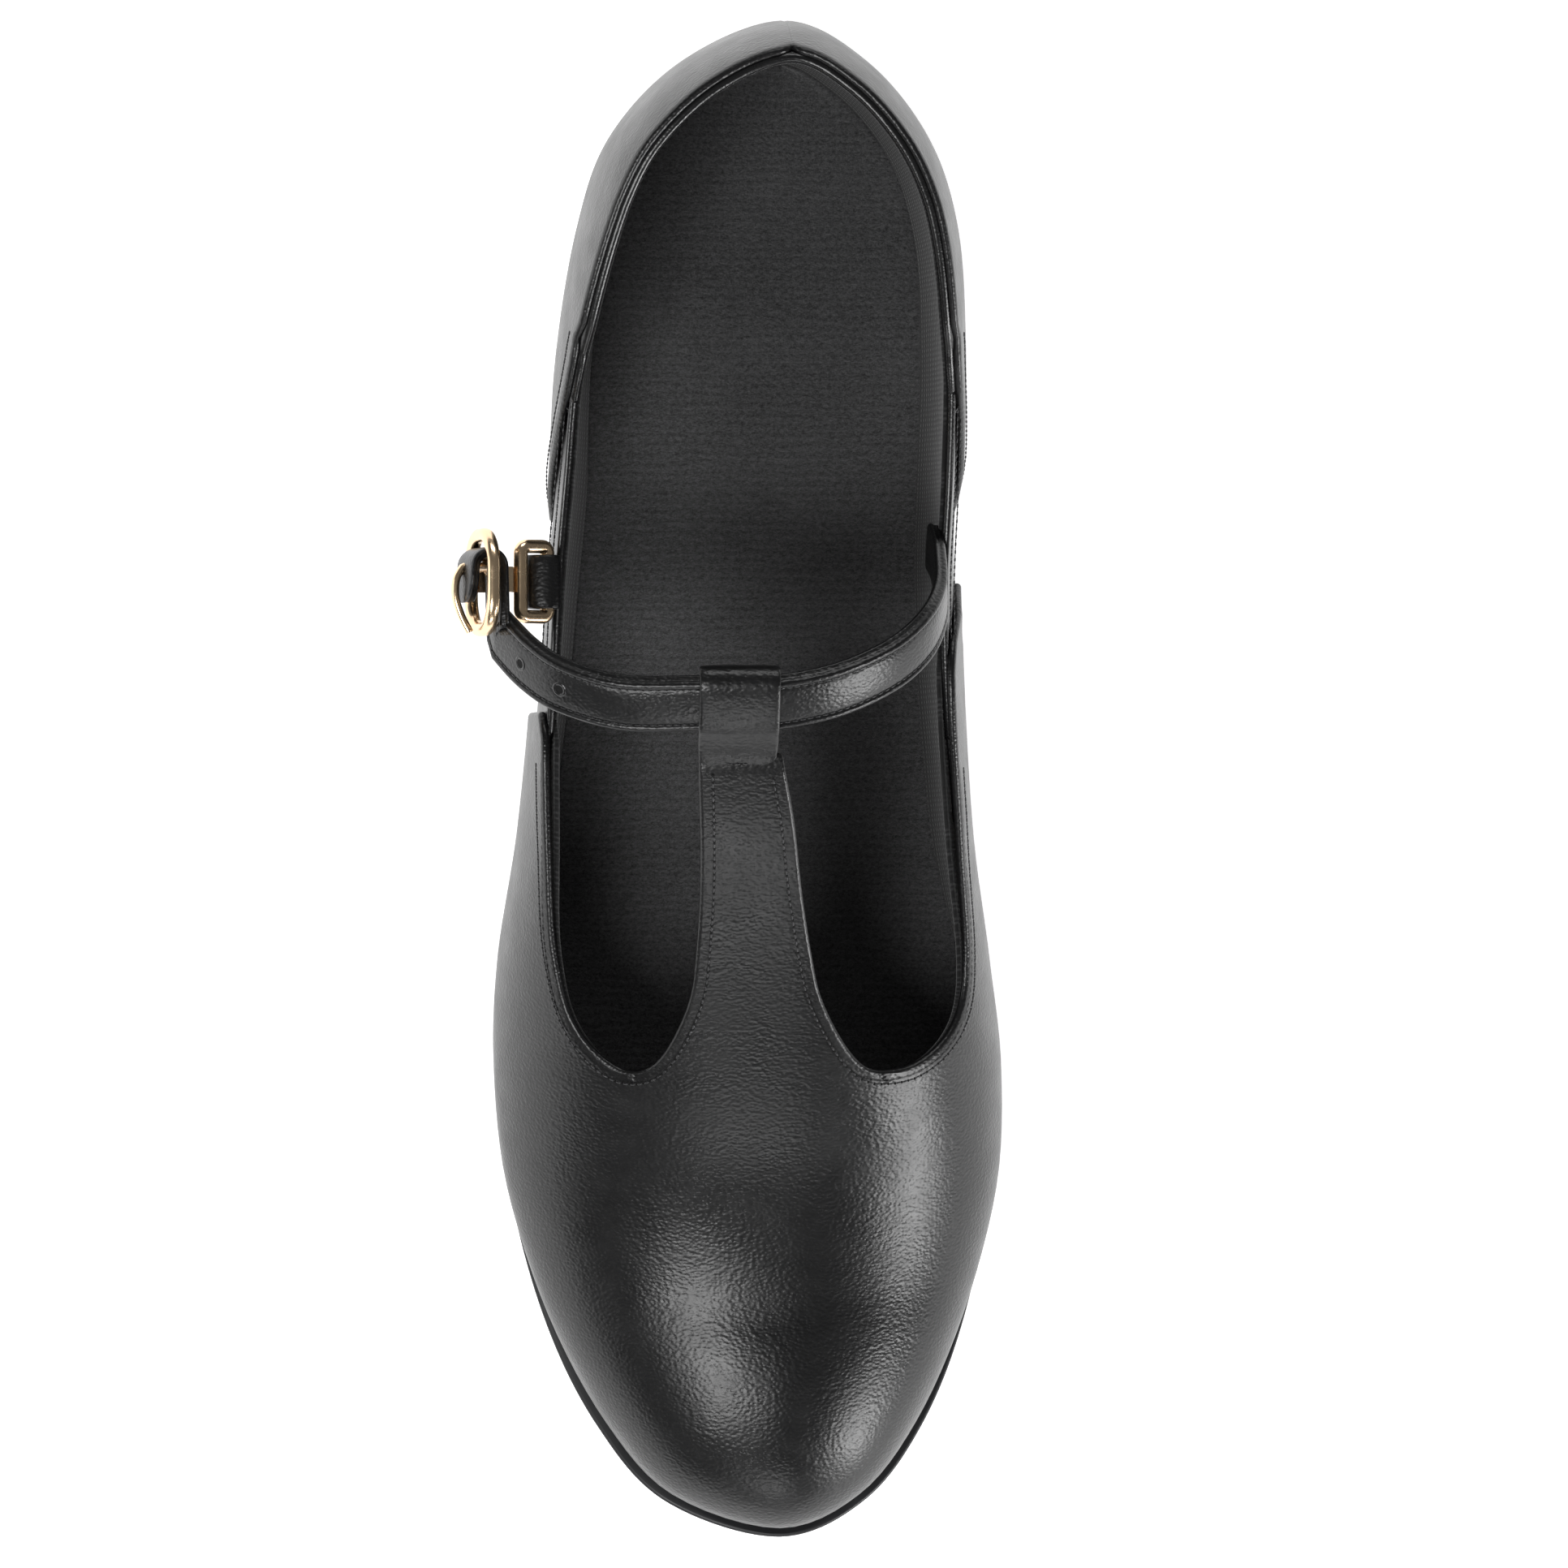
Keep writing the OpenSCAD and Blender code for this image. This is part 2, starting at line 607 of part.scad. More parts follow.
module rounded(l, w, r) {
    for (sx = [-1, 1], sy = [-1, 1])
        translate([sx * (l / 2 - r), sy * (w / 2 - r)]) circle(r = r, $fn = 48);
    square([l - 2 * r, w], center = true);
    square([l, w - 2 * r], center = true);
}
module buckle_frame()
    color("#d9b36a")
    in_buckle()
    difference() {
        translate([0, 0, -frame_t / 2])
            linear_extrude(frame_t)
                difference() {
                    rounded(frame_w, frame_l, 6.2);
                    rounded(frame_w - 2 * frame_t, frame_l - 2 * frame_t, 4.4);
                }
        translate([-frame_w / 2, bar_y, 0])
            rotate([0, 90, 0]) cylinder(d = bar_d, h = frame_w, $fn = 32);
    }

module buckle_bar()
    color("#d9b36a")
    in_buckle()
    translate([-frame_w / 2 + 0.5, bar_y, 0])
        rotate([0, 90, 0]) cylinder(d = bar_d, h = frame_w - 1, $fn = 32);

prong_w = 1.8;
module buckle_prong()
    color("#d9b36a")
    in_buckle()
    translate([-prong_w / 2, 0, 0])
        rotate([90, 0, 90])
            linear_extrude(prong_w)
                difference() {
                    union() {
                        translate([bar_y, 0]) circle(d = bar_d + 2.2, $fn = 32);
                        polygon([[bar_y, 0.9], [bar_y - 0.6, 4.3], [-2, 4.9], [-4.4, 4.6], [-8, 2.9],
                            [-8.4, 1.3], [-7.4, 1.3], [-4, 3.6], [-2, 3.8], [bar_y - 1.7, 3.4],
                            [bar_y - 1.7, 0.9]]);
                    }
                    translate([bar_y, 0]) circle(d = bar_d + 2 * pin_gap, $fn = 32);
                }

// from under the frame's lower side in to the ring, with a lip that cradles the ring's bar
module buckle_hook() {
    color("#d9b36a")
        in_buckle()
            translate([0, -1.5, 0])
                rotate([-90, 0, 0])
                    linear_extrude(4)
                        polygon([[-7.4, 1.05], [-5.6, 1.05], [-5.6, 3.6], [1.3, 3.8], [1.3, 4.7],
                            [-1.6, 4.9], [-2.5, 6.8], [-3.4, 6.5], [-2.8, 4.7], [-7.4, 4.4]]);
}

// the free end passes under the frame, round the bar and back over it
wrap_r = 2.3;
free_local = [[-8.2, -2.7], [-4, -2.5], [0, -2.4]];
function buckle_to_world(p) =
    let (a = buckle_lean)
    buckle_at + [p[0] * cos(a) + p[2] * sin(a), p[1], -p[0] * sin(a) + p[2] * cos(a)];
wrap_local = concat(
    [for (q = free_local) [0, q[0], q[1]]],
    [for (a = [-90:30:90]) [0, bar_y + wrap_r * cos(a), wrap_r * sin(a)]],
    [[0, 0, 2.45], [0, -3.2, 2.5]]);
wrap_normals = concat(
    [for (q = free_local) [0, 0, 1]],
    [for (a = [-90:30:90]) [0, -cos(a), -sin(a)]],
    [[0, 0, -1], [0, 0, -1]]);
module strap_lateral() {
    lead = through(concat(free_points, [buckle_to_world([0, -8.2, -2.7])]), 3);
    body_path = concat([for (k = [0:len(lead) - 2]) lead[k]],
        [for (p = wrap_local) buckle_to_world(p)]);
    toward = [for (k = [0:len(lead) - 2]) strap_normal(lead[k])];
    turned = [for (n = wrap_normals) buckle_to_world(n) - buckle_at];
    color("#17171a")
        difference() {
            ribbon(body_path, concat(toward, turned), strap_w, strap_t * 0.75);
            in_buckle() translate([-1.2, bar_y - 2.2, -2.2]) cube([2.4, 6.4, 7]);
        }
}

outsole();
sole_grip_pad();
toe_tap_board();
toe_tap();
toe_tap_screws();
insole_board();
steel_shank();
shank_rivets();
heel_block();
heel_nails();
heel_lift_board();
heel_tap();
heel_tap_screws();
sock_liner();
vamp();
toe_puff();
vamp_lining();
heel_quarter_lateral();
heel_quarter_medial();
back_seam_tape();
heel_counter();
side_quarter_lateral();
side_quarter_medial();
quarter_lining();
topline_binding();
strap_loop();
strap_medial();
strap_lateral();
ring_tab();
ring();
buckle_frame();
buckle_bar();
buckle_prong();
buckle_hook();
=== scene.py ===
"""Looks of the tap shoe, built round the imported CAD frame.

Shapes are worked out in millimetres on the CAD part's last, then scaled to metres. Beyond the CAD part, the
medial wall leans in more beside the strap, the wings' rear corners are cut away, the heel's topline is up to
1.4 mm higher and the ring tab's fold is fuller.
"""
import math
from functools import lru_cache

import bmesh
import bpy
from mathutils import Matrix, Vector, noise


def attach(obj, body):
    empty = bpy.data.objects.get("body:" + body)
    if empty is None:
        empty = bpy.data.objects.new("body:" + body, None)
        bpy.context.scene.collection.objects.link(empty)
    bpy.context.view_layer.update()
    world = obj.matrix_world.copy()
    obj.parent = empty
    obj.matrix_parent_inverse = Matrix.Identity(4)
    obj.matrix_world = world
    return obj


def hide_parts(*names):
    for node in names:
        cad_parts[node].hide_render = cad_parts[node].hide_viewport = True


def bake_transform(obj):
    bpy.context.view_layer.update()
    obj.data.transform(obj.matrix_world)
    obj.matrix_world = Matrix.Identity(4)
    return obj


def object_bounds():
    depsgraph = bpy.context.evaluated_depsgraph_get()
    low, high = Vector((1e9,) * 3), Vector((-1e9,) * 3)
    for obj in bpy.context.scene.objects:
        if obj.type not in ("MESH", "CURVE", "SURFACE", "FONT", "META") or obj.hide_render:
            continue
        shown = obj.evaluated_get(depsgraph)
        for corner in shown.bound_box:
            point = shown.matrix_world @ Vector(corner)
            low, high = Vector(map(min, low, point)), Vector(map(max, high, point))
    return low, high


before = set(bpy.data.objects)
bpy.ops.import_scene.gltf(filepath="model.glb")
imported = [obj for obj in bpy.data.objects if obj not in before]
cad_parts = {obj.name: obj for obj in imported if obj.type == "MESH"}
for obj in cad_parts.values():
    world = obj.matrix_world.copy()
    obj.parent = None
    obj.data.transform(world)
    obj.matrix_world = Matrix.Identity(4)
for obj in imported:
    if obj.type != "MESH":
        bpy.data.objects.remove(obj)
CAD_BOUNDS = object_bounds()
MM = 0.001
Z_UP = Vector((0, 0, 1))


# ---- curves --------------------------------------------------------------------------------
def mix(a, b, t):
    return a + (b - a) * t


def clamp01(t):
    return min(max(t, 0.0), 1.0)


def ease(t):
    c = clamp01(t)
    return c * c * (3 - 2 * c)


def spline(a, b, c, d, t):
    """Catmull-Rom through four points."""
    return 0.5 * ((2 * b) + (c - a) * t + (2 * a - 5 * b + 4 * c - d) * t * t
                  + (3 * b - a - 3 * c + d) * t ** 3)


def through(points, n):
    """A smooth path through the points, n steps between two of them."""
    points = [Vector(p) for p in points]
    last = len(points) - 1
    path = [spline(points[max(k - 1, 0)], points[k], points[k + 1], points[min(k + 2, last)], s / n)
            for k in range(last) for s in range(n)]
    return path + [points[-1]]


def smooth_at(table, x):
    """Smooth value at x on a table of (x, value) rows with rising x."""
    i = 0
    while i < len(table) - 2 and x > table[i + 1][0]:
        i += 1

    def slope(k):
        if k <= 0 or k >= len(table) - 1:
            return 0.0
        return (table[k + 1][1] - table[k - 1][1]) / (table[k + 1][0] - table[k - 1][0])

    w = table[i + 1][0] - table[i][0]
    t = clamp01((x - table[i][0]) / w)
    return ((2 * t ** 3 - 3 * t * t + 1) * table[i][1] + (t ** 3 - 2 * t * t + t) * slope(i) * w
            + (3 * t * t - 2 * t ** 3) * table[i + 1][1] + (t ** 3 - t * t) * slope(i + 1) * w)


# ---- the last ------------------------------------------------------------------------------
# rows of (y, lateral x, medial x) at the widest line
HALF_OUTLINE = [(117.5, -10, 20), (105, -21.9, 30.2), (90, -27.2, 35.1), (70, -30.4, 36.5),
                (50, -31.4, 36.7), (33, -32.8, 37), (12, -34.2, 38.1), (-8, -36.2, 40),
                (-28, -39.4, 43.5), (-46, -40.2, 46.1), (-66, -38, 45.7), (-88, -31.2, 40.4),
                (-106, -21.9, 32.6), (-118.5, -10.5, 22.6)]
BACK_POINT = (6.5, 124.0)
TOE_POINT = (8.2, -124.3)
KNOTS = [Vector(p) for p in [BACK_POINT] + [(r[1], r[0]) for r in HALF_OUTLINE] + [TOE_POINT]
         + [(r[2], r[0]) for r in reversed(HALF_OUTLINE)]]
STEPS = 3                        # stations between two knots, as in the CAD part
STATIONS = len(KNOTS) * STEPS    # station 0 is the back of the heel
TOE_STATION = STATIONS / 2
UPPER_INSET = [(-124, 1.3), (-100, 1), (-80, 0.4), (-60, 0), (124, 0)]
SOLE_INSET = [(-124, 0), (-95, 0.2), (-46, 2.6), (0, 4.6), (40, 5.6), (90, 4), (124, 3.4)]
SPINE_X = [(-80, 6), (-50, 3.5), (-30, 2.1), (-8, 0.4), (14, -1.7), (50, 1.5), (92, 5.5)]
CREST_Z = [(-88, 36.6), (-76, 38.7), (-64, 43.2), (-50, 51), (-30, 62), (-17, 70), (-4, 79), (14, 89),
           (30, 97), (60, 107), (92, 114)]
ROUNDNESS = [(-124, 2.15), (-50, 2.3), (-10, 2.9), (30, 3.2), (70, 2.8), (124, 2.5)]
MEDIAL_LEAN = 0.6                # taken off ROUNDNESS beside the strap's sewn end, in the looks only
LEAN_Y, LEAN_SPREAD = 32, 24
TOE_POLE, HEEL_POLE = -88, 92
BALL_TOP, HEEL_RISE, TOE_SPRING = 8.5, 33, 9
CLEAR = 0.15
SOLE_T, INSOLE_T, SOCK_T = 3.6, 2.2, 1.8
BALL_FROM_BACK, SHANK_LENGTH = 160, 120
SPRING_FROM_BACK, SPRING_LENGTH = 200, 48
TUCK_MARGIN, TUCK_SHARE = 0.8, 0.35


def feather_z(y):
    """Height of the outsole's top edge."""
    s = BACK_POINT[1] - y
    spring = TOE_SPRING * ((s - SPRING_FROM_BACK) / SPRING_LENGTH) ** 2 if s > SPRING_FROM_BACK else 0
    return BALL_TOP + HEEL_RISE * ease((BALL_FROM_BACK - s) / SHANK_LENGTH) + spring


def outline(s):
    s = s % STATIONS
    k = int(s // STEPS)
    n = len(KNOTS)
    return spline(KNOTS[k - 1], KNOTS[k], KNOTS[(k + 1) % n], KNOTS[(k + 2) % n], s / STEPS - k)


def is_medial(s):
    return s % STATIONS > TOE_STATION


@lru_cache(maxsize=None)
def station(s):
    """Widest point, inward normal, spine point, inset, power, sole inset, feather and crest heights."""
    m = outline(s)
    d = (outline(s + 0.5) - outline(s - 0.5)).normalized()
    cy = min(max(m.y, TOE_POLE), HEEL_POLE)
    c = Vector((smooth_at(SPINE_X, cy), cy))
    lean = MEDIAL_LEAN * math.exp(-((m.y - LEAN_Y) / LEAN_SPREAD) ** 2) if is_medial(s) else 0
    power = 2 / (smooth_at(ROUNDNESS, m.y) - lean)
    return (m, Vector((-d.y, d.x)), c, smooth_at(UPPER_INSET, m.y), power,
            smooth_at(SOLE_INSET, m.y), feather_z(m.y) + CLEAR, smooth_at(CREST_Z, c.y))


def last_point(s, phi, depth):
    """Point at a station, phi from 0 at the feather edge to 90 at the crest."""
    m0, n, c, inset, p, sole, low, crest = station(s)
    m = m0 + n * (inset + depth)
    a = math.radians(min(max(phi, 0.0), 90.0))
    across = 0.0 if phi >= 90 else math.cos(a) ** p
    up = math.sin(a) ** p
    tuck = (sole + TUCK_MARGIN) * max(1 - up / TUCK_SHARE, 0) ** 2
    q = c + (m - c) * across + n * tuck
    return Vector((q.x, q.y, low + (crest - depth - low) * up))


def phi_at_height(s, z):
    low, high = station(s)[6], station(s)[7]
    t = clamp01((z - low) / (high - low))
    return math.degrees(math.asin(t ** (1 / station(s)[4])))


def phi_at_width(s, w):
    m, c = station(s)[0], station(s)[2]
    return math.degrees(math.acos(clamp01(w / (m - c).length) ** (1 / station(s)[4])))


def y_at(s):
    return outline(s).y


# ---- toplines ------------------------------------------------------------------------------
THROAT_Y, THROAT_R, THROAT_HALF = -46, 16, 20.5
THROAT_POWER = 2.3               # 2 would be a quarter ellipse
THROAT_STATION = 30              # lateral station at the front of the throat
BAR_HALF = [(-46, 12), (-30, 9.3), (-17, 7.7), (-4, 6.9), (6, 6.2), (20, 6.2)]
WING_TOP_LATERAL = [(-46, 46), (-28, 50), (-8, 56), (12, 60.5), (33, 65)]
WING_TOP_MEDIAL = [(-46, 42), (-28, 43.5), (-8, 52), (12, 61), (33, 65)]
SIDE_TOP = [(-8, 49), (12, 58.8), (33, 66), (50, 70), (70, 77.5), (90, 86), (105, 92)]
HEEL_TOP = [(60, 74), (75, 84), (90, 91), (105, 95.4), (116, 97), (124, 97)]
WING_END_LATERAL, WING_END_MEDIAL, BAR_END = 21, 72, 22
QUARTER_FRONT = 16
# the wings' rear corners are cut away: share of the wing's height, over so many stations
CUT_LATERAL, CUT_SPAN_LATERAL = 0.12, 0.5
CUT_MEDIAL, CUT_SPAN_MEDIAL = 0.55, 1.8
LIP_STATION, LIP_BACK_Y = 12, 72     # where the heel quarter's topline turns down to its front edge
LIP_FRONT_Y, LIP_FOOT = 38, 9
NOTCH, NOTCH_WIDTH = 1.6, 0.3        # dip of the topline at the back seam, in degrees and stations
LINING_DEPTH, SIDE_LAYER = 1.6, 0.85
THROAT_PHI = phi_at_width(THROAT_STATION, THROAT_HALF)


def throat_round(y):
    d = clamp01((y - THROAT_Y) / THROAT_R)
    return (1 - (1 - d) ** THROAT_POWER) ** (1 / THROAT_POWER)


def wing_phi(s):
    y = y_at(s)
    z = smooth_at(WING_TOP_MEDIAL if is_medial(s) else WING_TOP_LATERAL, y)
    phi = mix(THROAT_PHI, phi_at_height(s, z), throat_round(y))
    if is_medial(s):
        return phi * (1 - CUT_MEDIAL * ease(1 - (WING_END_MEDIAL - s) / CUT_SPAN_MEDIAL))
    return phi * (1 - CUT_LATERAL * ease(1 - (s - WING_END_LATERAL) / CUT_SPAN_LATERAL))


def bar_phi(s):
    y = y_at(s)
    return mix(THROAT_PHI, phi_at_width(s, smooth_at(BAR_HALF, y)), throat_round(y))


def heel_phi(s):
    return phi_at_height(s, smooth_at(HEEL_TOP, y_at(s)))


def side_phi(s):
    return phi_at_height(s, smooth_at(SIDE_TOP, y_at(s)))


def quarter_phi(s):
    """Top of the heel quarter: the topline at the back, then its front edge."""
    y = y_at(s)
    from_seam = min(s, STATIONS - s)
    if y > LIP_BACK_Y:
        return heel_phi(s) - NOTCH * math.exp(-(from_seam / NOTCH_WIDTH) ** 2)
    foot = phi_at_height(s, feather_z(y) + LIP_FOOT)
    return mix(foot, heel_phi(LIP_STATION), ease((y - LIP_FRONT_Y) / (LIP_BACK_Y - LIP_FRONT_Y)))


def lining_depth(y):
    """The lining lies deeper where a side quarter is between it and the outer leather."""
    return LINING_DEPTH + SIDE_LAYER * ease((y + 40) / 40)


# ---- mesh building -------------------------------------------------------------------------
def placed(name, mesh, *materials):
    """Puts a smooth-shaded mesh with its materials in the scene."""
    for m in materials:
        mesh.materials.append(m)
    mesh.polygons.foreach_set("use_smooth", [True] * len(mesh.polygons))
    obj = bpy.data.objects.new(name, mesh)
    bpy.context.collection.objects.link(obj)
    return obj


def new_object(name, bm, *materials):
    bmesh.ops.recalc_face_normals(bm, faces=bm.faces)
    mesh = bpy.data.meshes.new(name)
    bm.to_mesh(mesh)
    bm.free()
    return placed(name, mesh, *materials)


def piece(obj, body, nodes=()):
    """Says what a piece rides on and hides the CAD nodes that it stands for."""
    if body:
        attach(obj, body)
    if nodes:
        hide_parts(*nodes)
    return obj


# a rim is rows of (share of the thickness, offset in half thicknesses); this one is half round
ROUND_RIM = [((1 - math.cos(math.pi * k / 6)) / 2, math.sin(math.pi * k / 6)) for k in range(1, 6)]


class Shell:
    """A surface with thickness: matching outer and inner points, and a rim round every border."""

    def __init__(self):
        self.index, self.outer, self.inner, self.uv, self.faces = {}, [], [], [], []

    def vertex(self, o, i, uv):
        key = (round(o.x, 3), round(o.y, 3), round(o.z, 3))
        if key not in self.index:
            self.index[key] = len(self.outer)
            self.outer.append(o)
            self.inner.append(i)
            self.uv.append(uv)
        return self.index[key]

    def grid(self, rows):
        """rows of (outer point, inner point, uv)."""
        ids = [[self.vertex(*v) for v in row] for row in rows]
        for a, b in zip(ids, ids[1:]):
            for k in range(len(a) - 1):
                ring = [a[k], a[k + 1], b[k + 1], b[k]]
                face = [v for n, v in enumerate(ring) if v != ring[n - 1]]
                if len(face) > 2:
                    self.faces.append(face)

    def border(self):
        """Border edges, and for each border vertex the direction out of the sheet."""
        count = {}
        for f in self.faces:
            for a, b in zip(f, f[1:] + f[:1]):
                key = (min(a, b), max(a, b))
                count.setdefault(key, []).append(f)
        edges, away = [], {}
        for (a, b), fs in count.items():
            if len(fs) > 1:
                continue
            edges.append((a, b))
            middle = sum((self.outer[v] for v in fs[0]), Vector()) / len(fs[0])
            along = (self.outer[b] - self.outer[a]).normalized()
            d = (self.outer[a] + self.outer[b]) / 2 - middle
            d = (d - along * d.dot(along)).normalized()
            for v in (a, b):
                away[v] = away.get(v, Vector()) + d
        for v, d in away.items():
            n = (self.outer[v] - self.inner[v]).normalized()
            away[v] = (d - n * d.dot(n)).normalized()
        return edges, away

    def loops(self):
        """Ordered border loops as lists of (point, direction out of the sheet, normal)."""
        edges, away = self.border()
        near = {}
        for a, b in edges:
            near.setdefault(a, []).append(b)
            near.setdefault(b, []).append(a)
        found, seen = [], set()
        for start in near:
            if start in seen:
                continue
            loop, here, before = [start], near[start][0], start
            while here != start and here not in seen:
                seen.add(here)
                loop.append(here)
                step = [v for v in near[here] if v != before]
                before, here = here, step[0] if step else start
            seen.add(start)
            found.append([(self.outer[v], away[v], (self.outer[v] - self.inner[v]).normalized())
                          for v in loop])
        return found

    def build(self, name, material, rim=ROUND_RIM):
        bm = bmesh.new()
        layer = bm.loops.layers.uv.new("UVMap")
        outer = [bm.verts.new(p * MM) for p in self.outer]
        inner = [bm.verts.new(p * MM) for p in self.inner]
        uv_of = {v: self.uv[k] for vs in (outer, inner) for k, v in enumerate(vs)}
        edges, away = self.border()
        rings = {}
        for v, d in away.items():
            o, i = self.outer[v], self.inner[v]
            half = (o - i).length / 2
            middle = [bm.verts.new((mix(o, i, t) + d * half * out) * MM) for t, out in rim]
            rings[v] = [outer[v], *middle, inner[v]]
            uv_of.update({m: self.uv[v] for m in middle})
        quads = [[outer[v] for v in f] for f in self.faces]
        quads += [[inner[v] for v in reversed(f)] for f in self.faces]
        for a, b in edges:
            for k in range(len(rim) + 1):
                quads.append([rings[a][k], rings[b][k], rings[b][k + 1], rings[a][k + 1]])
        for q in quads:
            try:
                face = bm.faces.new(q)
            except ValueError:
                continue
            for corner in face.loops:
                u, v = uv_of[corner.vert]
                corner[layer].uv = (u * MM, v * MM)
        return new_object(name, bm, material)


def frames(path, normals, closed=False):
    """Side and normal at each point of a path."""
    found = []
    n = len(path)
    for k in range(n):
        a = path[(k - 1) % n] if closed else path[max(k - 1, 0)]
        b = path[(k + 1) % n] if closed else path[min(k + 1, n - 1)]
        t = (b - a).normalized()
        side = normals[k].cross(t).normalized()
        found.append((side, t.cross(side).normalized()))
    return found


def sweep(name, path, normals, section, material, closed=False, scale=None):
    """Sweeps a closed section of (across, up) points along a path; scale gives its size by index."""
    bm = bmesh.new()
    layer = bm.loops.layers.uv.new("UVMap")
    rows = []
    run = 0.0
    for k, (side, up) in enumerate(frames(path, normals, closed)):
        run += (path[k] - path[k - 1]).length if k else 0.0
        sa, sb = scale(k) if scale else (1, 1)
        rows.append(([bm.verts.new((path[k] + side * a * sa + up * b * sb) * MM) for a, b in section], run))
    m = len(section)
    pairs = list(zip(rows, rows[1:] + rows[:1])) if closed else list(zip(rows, rows[1:]))
    for (ra, ua), (rb, ub) in pairs:
        for k in range(m):
            j = (k + 1) % m
            face = bm.faces.new([ra[k], ra[j], rb[j], rb[k]])
            for corner, u, v in zip(face.loops, (ua, ua, ub, ub), (k, k + 1, k + 1, k)):
                corner[layer].uv = (u * MM, v * 0.5 * MM)
    if not closed:
        bm.faces.new(rows[0][0])
        bm.faces.new(list(reversed(rows[-1][0])))
    return new_object(name, bm, material)


def normals_across(path, axis):
    """Normals of a path that bends in one plane, whose axis is given."""
    ends = zip([path[0]] + path[:-1], path[1:] + [path[-1]])
    return [axis.cross((b - a).normalized()) for a, b in ends]


def ellipse(a, b, n=16, power=2.0):
    """Section of half width a and half height b; a power above 2 squares its corners."""
    pts = []
    for k in range(n):
        t = 2 * math.pi * k / n
        c, s = math.cos(t), math.sin(t)
        pts.append((a * math.copysign(abs(c) ** (2 / power), c), b * math.copysign(abs(s) ** (2 / power), s)))
    return pts


def runs(points, pitch):
    """Places at equal spacing along (point, normal) rows, with the direction there."""
    found, carry = [], pitch / 2
    for (a, na), (b, _) in zip(points, points[1:]):
        length = (b - a).length
        while carry < length:
            found.append((a.lerp(b, carry / length), na, (b - a).normalized()))
            carry += pitch
        carry -= length
    return found


def ball(around, along):
    """Points and faces of a unit ball, its poles along the first axis."""
    pts = [(1.0, 0.0, 0.0)]
    for j in range(1, along):
        a = math.pi * j / along
        pts += [(math.cos(a), math.sin(a) * math.cos(2 * math.pi * k / around),
                 math.sin(a) * math.sin(2 * math.pi * k / around)) for k in range(around)]
    pts.append((-1.0, 0.0, 0.0))
    end = len(pts) - 1
    faces = [[0, 1 + k, 1 + (k + 1) % around] for k in range(around)]
    for j in range(along - 2):
        a = 1 + j * around
        faces += [[a + k, a + around + k, a + around + (k + 1) % around, a + (k + 1) % around]
                  for k in range(around)]
    a = end - around
    return pts, faces + [[end, a + (k + 1) % around, a + k] for k in range(around)]


BALL_POINTS, BALL_FACES = ball(8, 5)
STITCH_PITCH = 1.25
# half sizes, shift along the row and height of a thread and of a needle hole, the hole being a flat
# near-black blob of painted shade
STITCH_PARTS = (((0.48, 0.17, 0.15), 0.0, 0.02), ((0.22, 0.24, 0.05), STITCH_PITCH / 2, 0))


def stitches(name, rows, body):
    """Stitches along rows of (point, normal), with painted shade of a needle hole, a flat near-black blob,
    between two threads.
    """
    points_out, faces, kinds = [], [], []
    for points in rows:
        for place, normal, along in runs(points, STITCH_PITCH):
            side = normal.cross(along).normalized()
            up = along.cross(side).normalized()
            for k, (size, shift, rise) in enumerate(STITCH_PARTS):
                first = len(points_out)
                centre = place + along * shift + up * rise
                points_out += [(centre + along * a * size[0] + side * b * size[1] + up * c * size[2]) * MM
                               for a, b, c in BALL_POINTS]
                faces += [[first + v for v in f] for f in BALL_FACES]
                kinds += [k] * len(BALL_FACES)
    mesh = bpy.data.meshes.new(name)
    mesh.from_pydata(points_out, [], faces)
    mesh.polygons.foreach_set("material_index", kinds)
    return piece(placed(name, mesh, THREAD, PAINTED_HOLE_SHADE), body)


